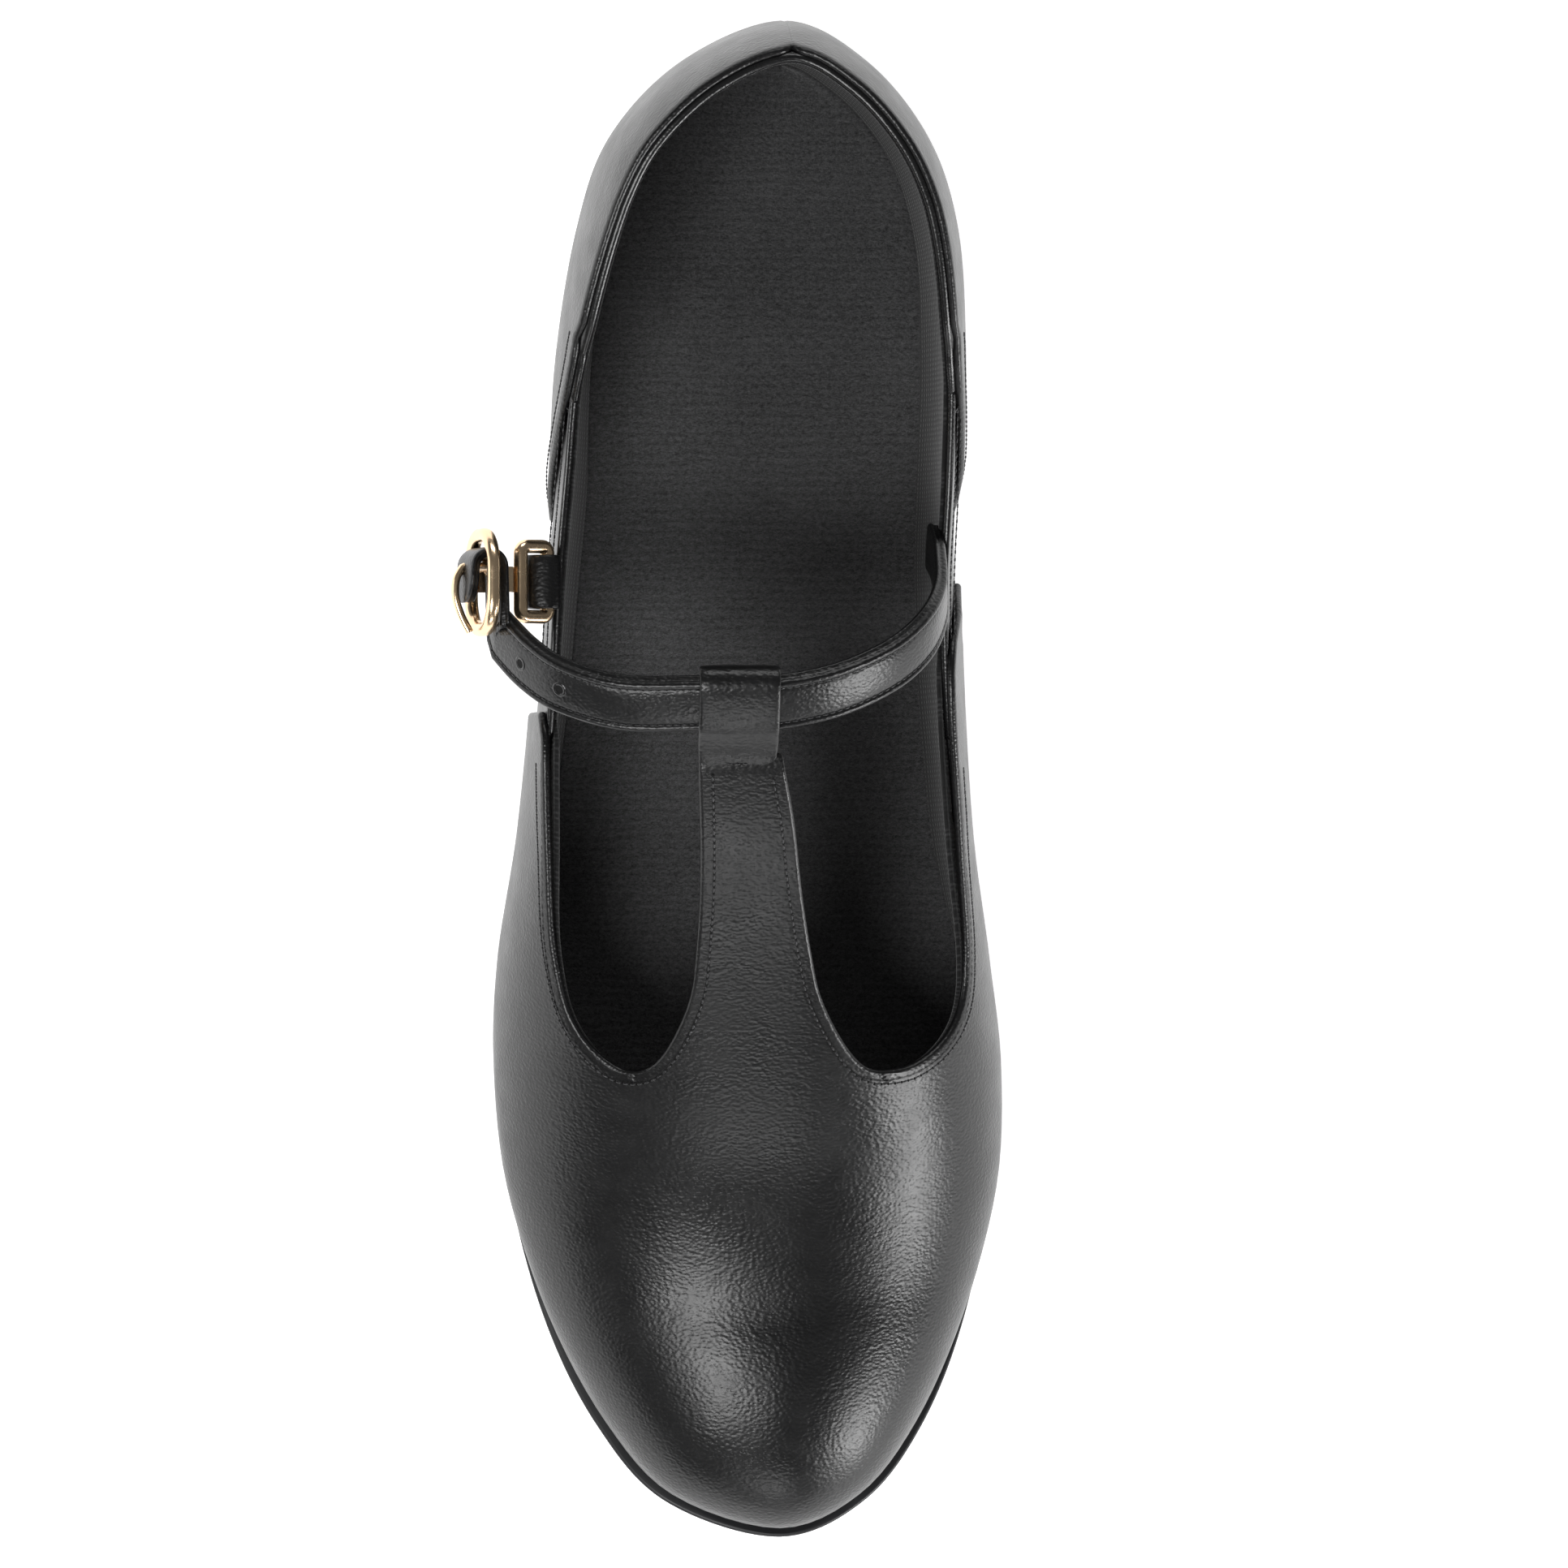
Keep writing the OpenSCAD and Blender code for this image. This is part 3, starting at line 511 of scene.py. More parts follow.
# ---- materials -----------------------------------------------------------------------------
class Nodes:
    """Short helper to build a procedural material."""

    def __init__(self, name):
        self.material = bpy.data.materials.new(name)
        self.material.use_nodes = True
        self.tree = self.material.node_tree
        self.shader = self.tree.nodes["Principled BSDF"]
        self.place = self.add("ShaderNodeTexCoord").outputs["Object"]
        self.uv = self.add("ShaderNodeTexCoord").outputs["UV"]

    def add(self, kind, **values):
        node = self.tree.nodes.new(kind)
        for key, value in values.items():
            if hasattr(node, key):
                setattr(node, key, value)
            else:
                node.inputs[key.replace("_", " ")].default_value = value
        return node

    def link(self, a, b):
        self.tree.links.new(a, b)

    def mapped(self, kind, output, vector, **values):
        """One output of a node whose Vector is the given one, or the place on the object."""
        node = self.add(kind, **values)
        self.link(vector or self.place, node.inputs["Vector"])
        return node.outputs[output]

    def noise(self, scale, detail=3.0, roughness=0.55, vector=None):
        return self.mapped("ShaderNodeTexNoise", "Fac", vector, Scale=scale, Detail=detail,
                           Roughness=roughness)

    def stretch(self, sx, sy, sz, source=None):
        return self.mapped("ShaderNodeMapping", "Vector", source, Scale=(sx, sy, sz))

    def cells(self, scale, vector):
        return self.mapped("ShaderNodeTexVoronoi", "Distance", vector, feature="SMOOTH_F1", Scale=scale)

    def bands(self, scale, direction, distortion=0.0, vector=None):
        return self.mapped("ShaderNodeTexWave", "Fac", vector, bands_direction=direction, Scale=scale,
                           Distortion=distortion)

    def span(self, value, a, b, low, high):
        node = self.add("ShaderNodeMapRange")
        for key, v in (("From Min", a), ("From Max", b), ("To Min", low), ("To Max", high)):
            node.inputs[key].default_value = v
        self.link(value, node.inputs["Value"])
        return node.outputs["Result"]

    def maths(self, operation, a, b):
        node = self.add("ShaderNodeMath", operation=operation)
        for socket, value in zip(node.inputs, (a, b)):
            if hasattr(value, "links"):
                self.link(value, socket)
            else:
                socket.default_value = value
        return node.outputs["Value"]

    def colours(self, value, dark, light, start=0.3, end=0.7):
        node = self.add("ShaderNodeValToRGB")
        ramp = node.color_ramp.elements
        ramp[0].position, ramp[1].position = start, end
        ramp[0].color, ramp[1].color = (*dark, 1), (*light, 1)
        self.link(value, node.inputs["Fac"])
        self.link(node.outputs["Color"], self.shader.inputs["Base Color"])

    def bump(self, *layers):
        """layers of (height, strength, distance in mm), one on another."""
        normal = None
        for height, strength, distance in layers:
            node = self.add("ShaderNodeBump", Strength=strength, Distance=distance * MM)
            self.link(height, node.inputs["Height"])
            if normal:
                self.link(normal, node.inputs["Normal"])
            normal = node.outputs["Normal"]
        self.link(normal, self.shader.inputs["Normal"])

    def rough(self, value, low, high):
        self.link(self.span(value, 0.3, 0.7, low, high), self.shader.inputs["Roughness"])

    def put(self, **values):
        for key, value in values.items():
            self.shader.inputs[key.replace("_", " ")].default_value = value
        return self.material


def leather(name, dark, light, low=0.29, high=0.37, grain=0.5, cell=1500, coat=0.03):
    """Fine pebbled leather: cells joined into short wrinkles, with a thin finish over them."""
    m = Nodes(name)
    wrinkled = m.stretch(1.0, 1.45, 1.2)
    pebbles = m.cells(cell, wrinkled)
    creases = m.noise(cell * 0.9, 3, 0.55, wrinkled)
    pores = m.noise(cell * 3.2, 2, 0.5)
    m.colours(m.noise(60, 4), dark, light)
    m.rough(m.noise(160, 5), low, high)
    m.bump((creases, grain * 0.45, 0.09), (pebbles, grain, 0.15), (pores, grain * 0.4, 0.03))
    return m.put(Specular_IOR_Level=0.42, Coat_Weight=coat, Coat_Roughness=0.3)


KNIT_PITCH = 0.55


def cloth(name, dark, light):
    """Knitted lining: fine wales and courses along the piece's own directions."""
    m = Nodes(name)
    loops_per_metre = 1 / KNIT_PITCH / MM / 6.28
    flat = m.stretch(loops_per_metre, loops_per_metre, 1, m.uv)
    wales = m.bands(3.14, "X", 1.2, flat)
    courses = m.bands(3.14, "Y", 1.2, flat)
    weave = m.maths("MULTIPLY", wales, courses)
    fuzz = m.noise(2600, 3)
    m.colours(m.maths("ADD", weave, m.span(fuzz, 0, 1, -0.2, 0.5)), dark, light, 0.15, 1.0)
    m.rough(fuzz, 0.8, 0.95)
    m.bump((weave, 0.5, 0.12), (fuzz, 0.5, 0.08))
    return m.put(Sheen_Weight=0.35, Sheen_Roughness=0.5, Specular_IOR_Level=0.3)


def pile():
    """Short ribbed pile of the sock: ribs across the foot, tufts and loose light fibres."""
    m = Nodes("sock_pile")
    ribs = m.bands(200, "Y", 4.0, m.stretch(0.35, 1.0, 1.0))
    tufts = m.noise(1500, 5, 0.7, m.stretch(1.0, 1.6, 1.0))
    fibres = m.noise(3800, 3, 0.7)
    worn = m.noise(45, 3)
    height = m.maths("ADD", m.maths("MULTIPLY", ribs, 0.16), tufts)
    shade = m.maths("ADD", m.maths("MULTIPLY", tufts, 0.7), m.maths("MULTIPLY", fibres, 0.5))
    shade = m.maths("ADD", shade, m.maths("MULTIPLY", ribs, 0.035))
    shade = m.maths("ADD", shade, m.span(worn, 0, 1, -0.08, 0.08))
    m.colours(shade, (0.006, 0.006, 0.0062), (0.115, 0.115, 0.118), 0.46, 0.86)
    m.rough(fibres, 0.85, 1.0)
    m.bump((height, 0.8, 0.5), (fibres, 0.5, 0.2))
    return m.put(Sheen_Weight=0.25, Sheen_Roughness=0.6, Specular_IOR_Level=0.2)


def metal(name, colour, low, high, brushed=None, worn=0.05):
    """Polished or brushed metal; brushed gives the scratches' stretch along the three axes."""
    m = Nodes(name)
    vector = m.stretch(*brushed) if brushed else m.place
    scratches = m.noise(900, 6, 0.7, vector)
    smudges = m.noise(220, 4)
    dark = [c * (1 - worn) for c in colour]
    m.colours(smudges, dark, colour)
    m.rough(m.maths("MULTIPLY", m.maths("ADD", scratches, smudges), 0.5), low, high)
    m.bump((scratches, 0.12, 0.02))
    return m.put(Metallic=1.0)


def moulded(name, dark, light, low, high, grain=900, depth=0.03):
    """Moulded rubber, resin or fibre board with a fine surface texture."""
    m = Nodes(name)
    fine = m.noise(grain, 5, 0.65)
    m.colours(m.noise(90, 5), dark, light)
    m.rough(m.noise(240, 4), low, high)
    m.bump((fine, 0.35, depth))
    return m.put(Specular_IOR_Level=0.45)


def ribbed_rubber():
    m = Nodes("grip_rubber")
    ribs = m.bands(160, "Y", 0.0)
    m.colours(m.noise(120, 4), (0.014, 0.014, 0.015), (0.03, 0.03, 0.031))
    m.rough(m.noise(300, 4), 0.6, 0.8)
    m.bump((ribs, 0.7, 0.5), (m.noise(1500, 4), 0.3, 0.05))
    return m.put(Specular_IOR_Level=0.4)


BLACK = ((0.0035, 0.0035, 0.0038), (0.0055, 0.0055, 0.0058))
BLACK_LEATHER = leather("black_leather", *BLACK)
STRAP_LEATHER = leather("strap_leather", *BLACK, cell=1600)
EDGE_LEATHER = leather("edge_leather", (0.003, 0.003, 0.0033), (0.005, 0.005, 0.0053),
                       low=0.22, high=0.32, grain=0.25, cell=1700, coat=0.2)
LINING = cloth("lining_cloth", (0.003, 0.003, 0.003), (0.03, 0.03, 0.031))
SOCK = pile()
# near-black thread, its colour lifted to dark grey as painted highlight of the shiny thread
THREAD = leather("sewing_thread", (0.012, 0.012, 0.013), (0.04, 0.04, 0.042),
                 low=0.28, high=0.4, grain=0.3, cell=3000, coat=0.0)
# painted shade: near-black matte for the needle holes and the punched holes' floors
PAINTED_HOLE_SHADE = moulded("painted_hole_shade", (0.001, 0.001, 0.001), (0.002, 0.002, 0.002), 0.9, 1.0)
SOLE = moulded("sole", (0.010, 0.0105, 0.012), (0.016, 0.0165, 0.018), 0.38, 0.5)
HEEL = moulded("heel", (0.011, 0.011, 0.012), (0.016, 0.016, 0.017), 0.28, 0.4, 500, 0.02)
BOARD = moulded("fibre_board", (0.06, 0.042, 0.03), (0.1, 0.072, 0.05), 0.6, 0.8, 1400, 0.08)
STIFFENER = moulded("stiffener", (0.28, 0.24, 0.2), (0.36, 0.31, 0.27), 0.6, 0.8)
GRIP = ribbed_rubber()
GOLD = metal("gold", (0.96, 0.72, 0.47), 0.16, 0.30)
TAP_METAL = metal("tap_metal", (0.72, 0.73, 0.75), 0.26, 0.42, (1.0, 0.08, 1.0), 0.12)
STEEL = metal("steel", (0.6, 0.61, 0.63), 0.25, 0.4)
# finishes of the pieces that stay as CAD made them
FRAME_FINISH = {"toe_tap_board": BOARD, "insole_board": BOARD, "heel_lift_board": BOARD, "toe_tap": TAP_METAL,
                "heel_tap": TAP_METAL, "toe_tap_screws": STEEL, "heel_tap_screws": STEEL,
                "steel_shank": STEEL, "shank_rivets": STEEL, "heel_nails": STEEL, "sole_grip_pad": GRIP,
                "toe_puff": STIFFENER, "heel_counter": STIFFENER, "back_seam_tape": LINING,
                "buckle_bar": GOLD, "buckle_hook": GOLD}
for node_name, finish in FRAME_FINISH.items():
    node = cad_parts[node_name]
    for slot in node.material_slots:
        slot.material = finish


# ---- upper ---------------------------------------------------------------------------------
U_STEP, V_STEP = 2.9, 0.75       # millimetres of cloth for one station and one degree
ROWS = 26                        # quads from the feather edge to the topline
VAMP_T, QUARTER_T, LINING_T = 1.3, 1.25, 0.8
SIDE_DEPTH, SIDE_T = 1.4, 0.9
LINING_TRIM = 0.7                # degrees that the vamp lining stays under the leather's edge
SEAM_GAP = 0.1                   # stations between the back seam and a heel quarter's edge
LIP_PROUD = 0.45
STRAP_END_STATION = STATIONS - 17
EDGE_DEPTH = 1.85                # from the outside of the upper to the middle of its edge roll


def column(s, low, high, depth, thick, rows):
    """One column of (outer, inner, uv) from the feather edge up; depth may be a function of phi."""
    col = []
    for j in range(rows + 1):
        phi = mix(low, high, j / rows)
        d = depth(s, phi) if callable(depth) else depth
        col.append((last_point(s, phi, d), last_point(s, phi, d + thick), (s * U_STEP, phi * V_STEP)))
    return col


def spaced(a, b, n):
    """Stations from a to b, close together near a."""
    return [a + (b - a) * (k / n) ** 2 for k in range(n + 1)]


def vamp_shell(depth, thick, trim):
    """Toe, wings and T-bar in one; trim keeps the lining's edge a little under the leather's."""
    shell = Shell()
    front = THROAT_STATION
    back = STATIONS - front
    lateral = spaced(front, WING_END_LATERAL, 30)[::-1]
    toe = [front + 0.5 * k for k in range(int(2 * (back - front)) + 1)]
    medial = spaced(back, WING_END_MEDIAL, 34)
    edge = THROAT_PHI - trim

    def bar_low(s):
        """Edge of the bar; the trim turns from below the throat's edge to inside the bar's."""
        return min(bar_phi(s) + trim * (2 * throat_round(y_at(s)) - 1), 90)

    shell.grid([column(s, 0, wing_phi(s) - trim, depth, thick, ROWS) for s in lateral])
    shell.grid([column(s, 0, edge, depth, thick, ROWS) for s in toe])
    shell.grid([column(s, 0, wing_phi(s) - trim, depth, thick, ROWS) for s in medial])
    shell.grid([column(s, edge, 90, depth, thick, ROWS) for s in toe])
    for a, b in ((front, BAR_END), (back, STATIONS - BAR_END)):
        shell.grid([column(s, bar_low(s), 90, depth, thick, ROWS) for s in spaced(a, b, 34)])
    return shell


def quarter_stations(a, b, n):
    return [mix(a, b, k / n) for k in range(n + 1)]


def inside_row(loop, offset, test):
    """Runs of a border where test is true, moved into the sheet by offset, as (point, normal)."""
    flags = [test(p) for p, _, _ in loop]
    if all(flags):
        return [[(p - d * offset, n) for p, d, n in loop]]
    start = next(k for k in range(len(loop)) if not flags[k - 1] and flags[k]) if any(flags) else 0
    rows, row = [], []
    for k in range(len(loop)):
        p, d, n = loop[(start + k) % len(loop)]
        if flags[(start + k) % len(loop)]:
            row.append((p - d * offset, n))
        elif row:
            rows.append(row)
            row = []
    if row:
        rows.append(row)
    return [r for r in rows if len(r) > 3]


def sew(name, forms, offsets, test):
    """Rows of stitches inside the shells' borders where test is true, at each offset from the edge."""
    rows = []
    for form in forms:
        for loop in form.loops():
            for offset in offsets:
                rows += inside_row(loop, offset, test)
    return stitches(name, rows, "shoe")


def on_topline(p):
    """On the throat's edge and the T-bar's, and not at the feather or the cut ends."""
    return p.z > feather_z(p.y) + 16 and p.y < 4.6 and not (p.x > 30 and p.y > 10)


def on_side_top(p):
    return p.z > 61 and 14 < p.y < 66


def on_quarter_front(p):
    return p.z > feather_z(p.y) + 10 and LIP_FRONT_Y < p.y < LIP_BACK_Y


vamp_form = vamp_shell(0, VAMP_T, 0)
piece(vamp_form.build("vamp", BLACK_LEATHER), "shoe", ["vamp"])
sew("throat_stitches", [vamp_form], [1.7], on_topline)

lining_form = vamp_shell(lambda s, phi: lining_depth(y_at(s)), LINING_T, LINING_TRIM)
vamp_lining = piece(lining_form.build("vamp_lining", LINING), "shoe", ["vamp_lining"])


def heel_quarter(name, a, b):
    """From the back seam at station a to the front edge at b, which stands proud of the side quarter."""
    def lip(s, phi):
        return -LIP_PROUD * (1 - ease((y_at(s) - 40) / 14)) * ease((phi - 8) / 10)

    shell = Shell()
    shell.grid([column(s, 0, quarter_phi(s), lip, QUARTER_T, 30) for s in spaced(a, b, 90)])
    piece(shell.build(name, BLACK_LEATHER), "shoe", [name])
    return shell


quarter_forms = [heel_quarter("heel_quarter_lateral", SEAM_GAP, QUARTER_FRONT),
                 heel_quarter("heel_quarter_medial", STATIONS - SEAM_GAP, STATIONS - QUARTER_FRONT)]


def side_quarter(name, a, b):
    shell = Shell()
    shell.grid([column(s, 0, side_phi(s), SIDE_DEPTH, SIDE_T, ROWS) for s in quarter_stations(a, b, 50)])
    piece(shell.build(name, BLACK_LEATHER), "shoe", [name])
    return shell


side_forms = [side_quarter("side_quarter_lateral", 13, 23.5),
              side_quarter("side_quarter_medial", STATIONS - 23.5, STATIONS - 13)]
sew("side_stitches", side_forms, [1.5, 2.9], on_side_top)
sew("quarter_stitches", quarter_forms, [1.6], on_quarter_front)


def lining_top_phi(s):
    """A little under the side quarter's top, then under the heel quarter's."""
    top = mix(side_phi(s), heel_phi(s), ease((y_at(s) - 58) / 12))
    return min(top - 0.8, 88)


def quarter_lining():
    shell = Shell()

    def pushed_in(s, phi):
        """Past the end of the strap, which comes up between this lining and the side quarter."""
        beside = math.exp(-((s - STRAP_END_STATION) / 1.5) ** 2)
        return lining_depth(y_at(s)) + 2.3 * beside * ease((phi - 25) / 25)

    shell.grid([column(s, 0, lining_top_phi(s), pushed_in, LINING_T, 30)
                for s in quarter_stations(STATIONS - 19.2, STATIONS + 21, 170)])
    return piece(shell.build("quarter_lining", LINING), "shoe", ["quarter_lining"])


quarter_lining_piece = quarter_lining()


def topline_binding():
    """Soft roll between heel quarter and lining, from one quarter's front to the other's."""
    def edge_phi(s):
        back = min(s % STATIONS, -s % STATIONS)
        if back <= LIP_STATION:
            return heel_phi(back)
        return max(quarter_phi(back), side_phi(back))

    list_s = quarter_stations(STATIONS - 13.2, STATIONS + 13.2, 180)
    path = [last_point(s, edge_phi(s) + 0.3, EDGE_DEPTH) for s in list_s]
    out = [last_point(s, edge_phi(s), 0) - last_point(s, edge_phi(s), 1) for s in list_s]
    return sweep("topline_binding", path, [v.normalized() for v in out], ellipse(1.0, 0.85), EDGE_LEATHER)


piece(topline_binding(), "shoe", ["topline_binding"])


def side_piping(name, a, b):
    """Rolled edge between a side quarter and the lining."""
    list_s = quarter_stations(a, b, 60)
    path = [last_point(s, side_phi(s % STATIONS) + 0.3, EDGE_DEPTH) for s in list_s]
    out = [last_point(s, 40, 0) - last_point(s, 40, 1) for s in list_s]
    roll = sweep(name, path, [v.normalized() for v in out], ellipse(0.55, 0.75), EDGE_LEATHER)
    return piece(roll, "shoe")


side_piping("side_piping_lateral", 12.9, 21.5)
side_piping("side_piping_medial", STATIONS - 21.5, STATIONS - 12.9)


# ---- bed and sole --------------------------------------------------------------------------
SOCK_TOP = CLEAR + INSOLE_T + CLEAR + SOCK_T
SOCK_VISIBLE_T = SOCK_T - 0.4
SOCK_MARGIN, SOCK_CUP = 0.25, 0.9
SOLE_MARGIN = 0.6                # leaves room for the rims' roll


def bed_shell(top, thick, margin, cup):
    """A layer across the shoe, from the lateral lining to the medial one, turned up by cup at its edges."""
    shell = Shell()
    rows = []
    for k in range(121):
        s = mix(0.6, TOE_STATION - 0.5, k / 120)
        ends = []
        for t in (s, STATIONS - s):
            y = y_at(t)
            phi = phi_at_height(t, feather_z(y) + top + cup * 0.6)
            ends.append(last_point(t, phi, lining_depth(y) + LINING_T + margin))
        row = []
        for j in range(31):
            f = j / 30
            p = mix(ends[0], ends[1], f)
            rise = cup * abs(2 * f - 1) ** 4
            wave = 0.25 * noise.noise(p * 0.06)
            p = Vector((p.x, p.y, feather_z(p.y) + top + rise + wave))
            row.append((p, p - Vector((0, 0, thick)), (p.x, p.y)))
        rows.append(row)
    shell.grid(rows)
    return shell


sock_form = bed_shell(SOCK_TOP, SOCK_VISIBLE_T, SOCK_MARGIN, SOCK_CUP)
sock = piece(sock_form.build("sock_liner", SOCK), "shoe", ["sock_liner"])


def sole_edge(s):
    n = station(s)[1]
    return outline(s) + n * (smooth_at(SOLE_INSET, y_at(s)) + SOLE_MARGIN)


def sole_shell(top, bottom, s_front, rows, across=16):
    """A slab between a station near the back and s_front; bottom is a height or gives the lower point."""
    shell = Shell()
    grid = []
    for k in range(rows + 1):
        s = mix(0.02, s_front, k / rows)
        a, b = sole_edge(s), sole_edge(STATIONS - s)
        row = []
        for j in range(across + 1):
            q = mix(a, b, j / across)
            z = feather_z(q.y)
            low = bottom(q) if callable(bottom) else Vector((q.x, q.y, z + bottom))
            row.append((Vector((q.x, q.y, z + top)), low, (q.x, q.y)))
        grid.append(row)
    shell.grid(grid)
    return shell


SLAB_RIM = [(0.02, 0.16), (0.08, 0.3), (0.3, 0.34), (0.7, 0.34), (0.92, 0.3), (0.98, 0.16)]
outsole_form = sole_shell(0, -SOLE_T, TOE_STATION - 0.02, 160)
piece(outsole_form.build("outsole", SOLE, SLAB_RIM), "shoe", ["outsole"])

HEEL_CENTRE = Vector((6.5, 92))
HEEL_FRONT, HEEL_LIFT_TOP, HEEL_TAPER = 66, 6, 0.88
HEEL_FRONT_STATION = next(s / 20 for s in range(400) if y_at(s / 20) < HEEL_FRONT)


def heel_foot(q):
    """Foot of the heel block below a point of its top."""
    f = HEEL_CENTRE + (q - HEEL_CENTRE) * HEEL_TAPER
    return Vector((f.x, f.y, HEEL_LIFT_TOP))


HEEL_WAIST = 0.09                # hollow of the heel's side, in half heights
HEEL_RIM = [(k / 14, -HEEL_WAIST * math.sin(math.pi * k / 14)) for k in range(1, 14)]
heel_form = sole_shell(-SOLE_T - CLEAR, heel_foot, HEEL_FRONT_STATION, 60)
piece(heel_form.build("heel_block", HEEL, HEEL_RIM), "shoe", ["heel_block"])


# ---- strap and loop ------------------------------------------------------------------------
LOOP_CENTRE = Vector((-1.7, 13.5, 88.6))
LOOP_TILT = math.radians(33)
STRAP_POINTS = [(30.6, 39, 62.5), (31.3, 36, 66), (31.2, 30, 72), (28.4, 24.5, 78.5), (22.5, 19.5, 83.4),
                (13.5, 15.5, 86.8), (4, 13.6, 88.5), (-1.7, 13.5, 88.6), (-8, 13.5, 88.4),
                (-20, 13.6, 86.4), (-29.3, 16.3, 83.2), (-34.6, 19.8, 79)]
BUCKLE_AT = Vector((-41.8, 33, 74.2))
BUCKLE_LEAN = math.radians(-75)
BUCKLE_TURN = Matrix.Rotation(BUCKLE_LEAN, 3, "Y")
BAR_Y, WRAP_R = 2.4, 2.3
PATH_STEPS = 10                  # between two of STRAP_POINTS
TURN_STEPS = 36                  # over which the strap's face turns to the buckle's
ANKLE_Z = 60                     # height of the axis that the strap goes round


def strap_normal(p):
    return Vector((p.x - LOOP_CENTRE.x, -0.65 * (p.z - ANKLE_Z), p.z - ANKLE_Z)).normalized()


def from_buckle(x, y, z):
    return BUCKLE_AT + BUCKLE_TURN @ Vector((x, y, z))


def strap_path():
    """Points and normals along the whole strap, medial end first, and round the buckle's bar."""
    arrive = from_buckle(0, -8.2, -2.7)
    path = through(STRAP_POINTS + [arrive], PATH_STEPS)
    normals = [strap_normal(p) for p in path]
    out = BUCKLE_TURN @ Z_UP
    first = len(path) - TURN_STEPS
    for k in range(TURN_STEPS):
        normals[first + k] = normals[first + k].lerp(out, ease((k + 1) / TURN_STEPS)).normalized()
    local = [(-6.6, -2.6), (-5, -2.5), (-3, -2.45), (-1, -2.4), (1, -2.33)]
    path += [from_buckle(0, y, z) for y, z in local]
    normals += [out] * len(local)
    for a in range(-90, 91, 12):
        c, s = math.cos(math.radians(a)), math.sin(math.radians(a))
        path.append(from_buckle(0, BAR_Y + WRAP_R * c, WRAP_R * s))
        normals.append(BUCKLE_TURN @ Vector((0, -c, -s)))
    back = [(1.4, 2.42), (0, 2.5), (-1.2, 2.55), (-2.1, 2.55), (-2.8, 2.5), (-3.2, 2.45)]
    path += [from_buckle(0, y, z) for y, z in back]
    normals += [-out] * len(back)
    return path, normals


def strap_section():
    """Upper leather with a rolled bead along both edges, and the backing proud of it at the rear."""
    top = [(-4.5, 0.35), (-4.42, 0.72), (-4.2, 0.98), (-3.9, 1.1), (-3.6, 1.07), (-3.38, 0.92), (-3.2, 0.76),
           (-3.0, 0.84), (-2.6, 0.93), (-1.3, 0.99), (0, 1.0)]
    right = [(-a, b) for a, b in reversed(top[:-1])]
    front = [(4.55, 0.1), (4.5, -0.3), (4.3, -0.75), (3.8, -1.02), (2, -1.1)]
    rear = [(-2, -1.1), (-4.3, -1.05), (-4.85, -0.85), (-5.05, -0.5), (-4.95, -0.2), (-4.6, 0.0)]
    return top + right + front + rear


strap_way, strap_faces = strap_path()
STRAP_LEN = len(strap_way)
THIN_FROM = len(STRAP_POINTS) * PATH_STEPS - 8
TIP_WIDTHS = (0.2, 0.48, 0.72, 0.88)


def strap_scale(k):
    """The strap is thinned before the buckle, and its tip is rounded."""
    thin = mix(1.0, 0.75, ease((k - THIN_FROM) / 12))
    left = STRAP_LEN - 1 - k
    return (TIP_WIDTHS[left] if left < len(TIP_WIDTHS) else 1.0, thin)


def bend(obj):
    """Bakes the object's transform into its mesh."""
    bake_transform(obj)


strap = sweep("strap", strap_way, strap_faces, strap_section(), STRAP_LEATHER, scale=strap_scale)
bend(strap)
piece(strap, None, ["strap_medial", "strap_lateral"])
strap_frames = frames(strap_way, strap_faces)
GROOVE = 3.2                     # from the strap's middle to the stitched groove beside a bead


def groove_row(across):
    row = []
    for k in range(8, THIN_FROM + 20):
        side, up = strap_frames[k]
        row.append((strap_way[k] + side * across + up * 0.8 * strap_scale(k)[1], up))
    return row


strap_stitches = stitches("strap_stitches", [groove_row(-GROOVE), groove_row(GROOVE)], None)
bend(strap_stitches)


def punched_hole(name, x):
    """A round hole with its pressed rim, at the place along the strap where x is reached; its floor is a
    near-black disc just over the strap, painted shade of the hole.
    """
    k = next(k for k in range(60, STRAP_LEN) if strap_way[k].x < x)
    side, up = strap_frames[k]
    along = up.cross(side)
    centre = strap_way[k] + up * 0.98
    bm = bmesh.new()
    around = 24
    circle = [(math.cos(2 * math.pi * i / around), math.sin(2 * math.pi * i / around)) for i in range(around)]
    rows = []
    for r, z in ((1.3, -0.03), (1.12, 0.1), (0.92, 0.1), (0.8, 0.05), (0.74, 0.04)):
        rows.append([bm.verts.new((centre + (side * c + along * s) * r + up * z) * MM) for c, s in circle])
    for ra, rb in zip(rows, rows[1:]):
        for i in range(around):
            j = (i + 1) % around
            bm.faces.new([ra[i], ra[j], rb[j], rb[i]])
    # the hole's floor: a flat disc in painted shade, laid over the strap
    bm.faces.new(rows[-1]).material_index = 1
    obj = new_object(name, bm, EDGE_LEATHER, PAINTED_HOLE_SHADE)
    bend(obj)
    return piece(obj, None)


punched_hole("strap_hole_1", -28.6)
punched_hole("strap_hole_2", -34.8)


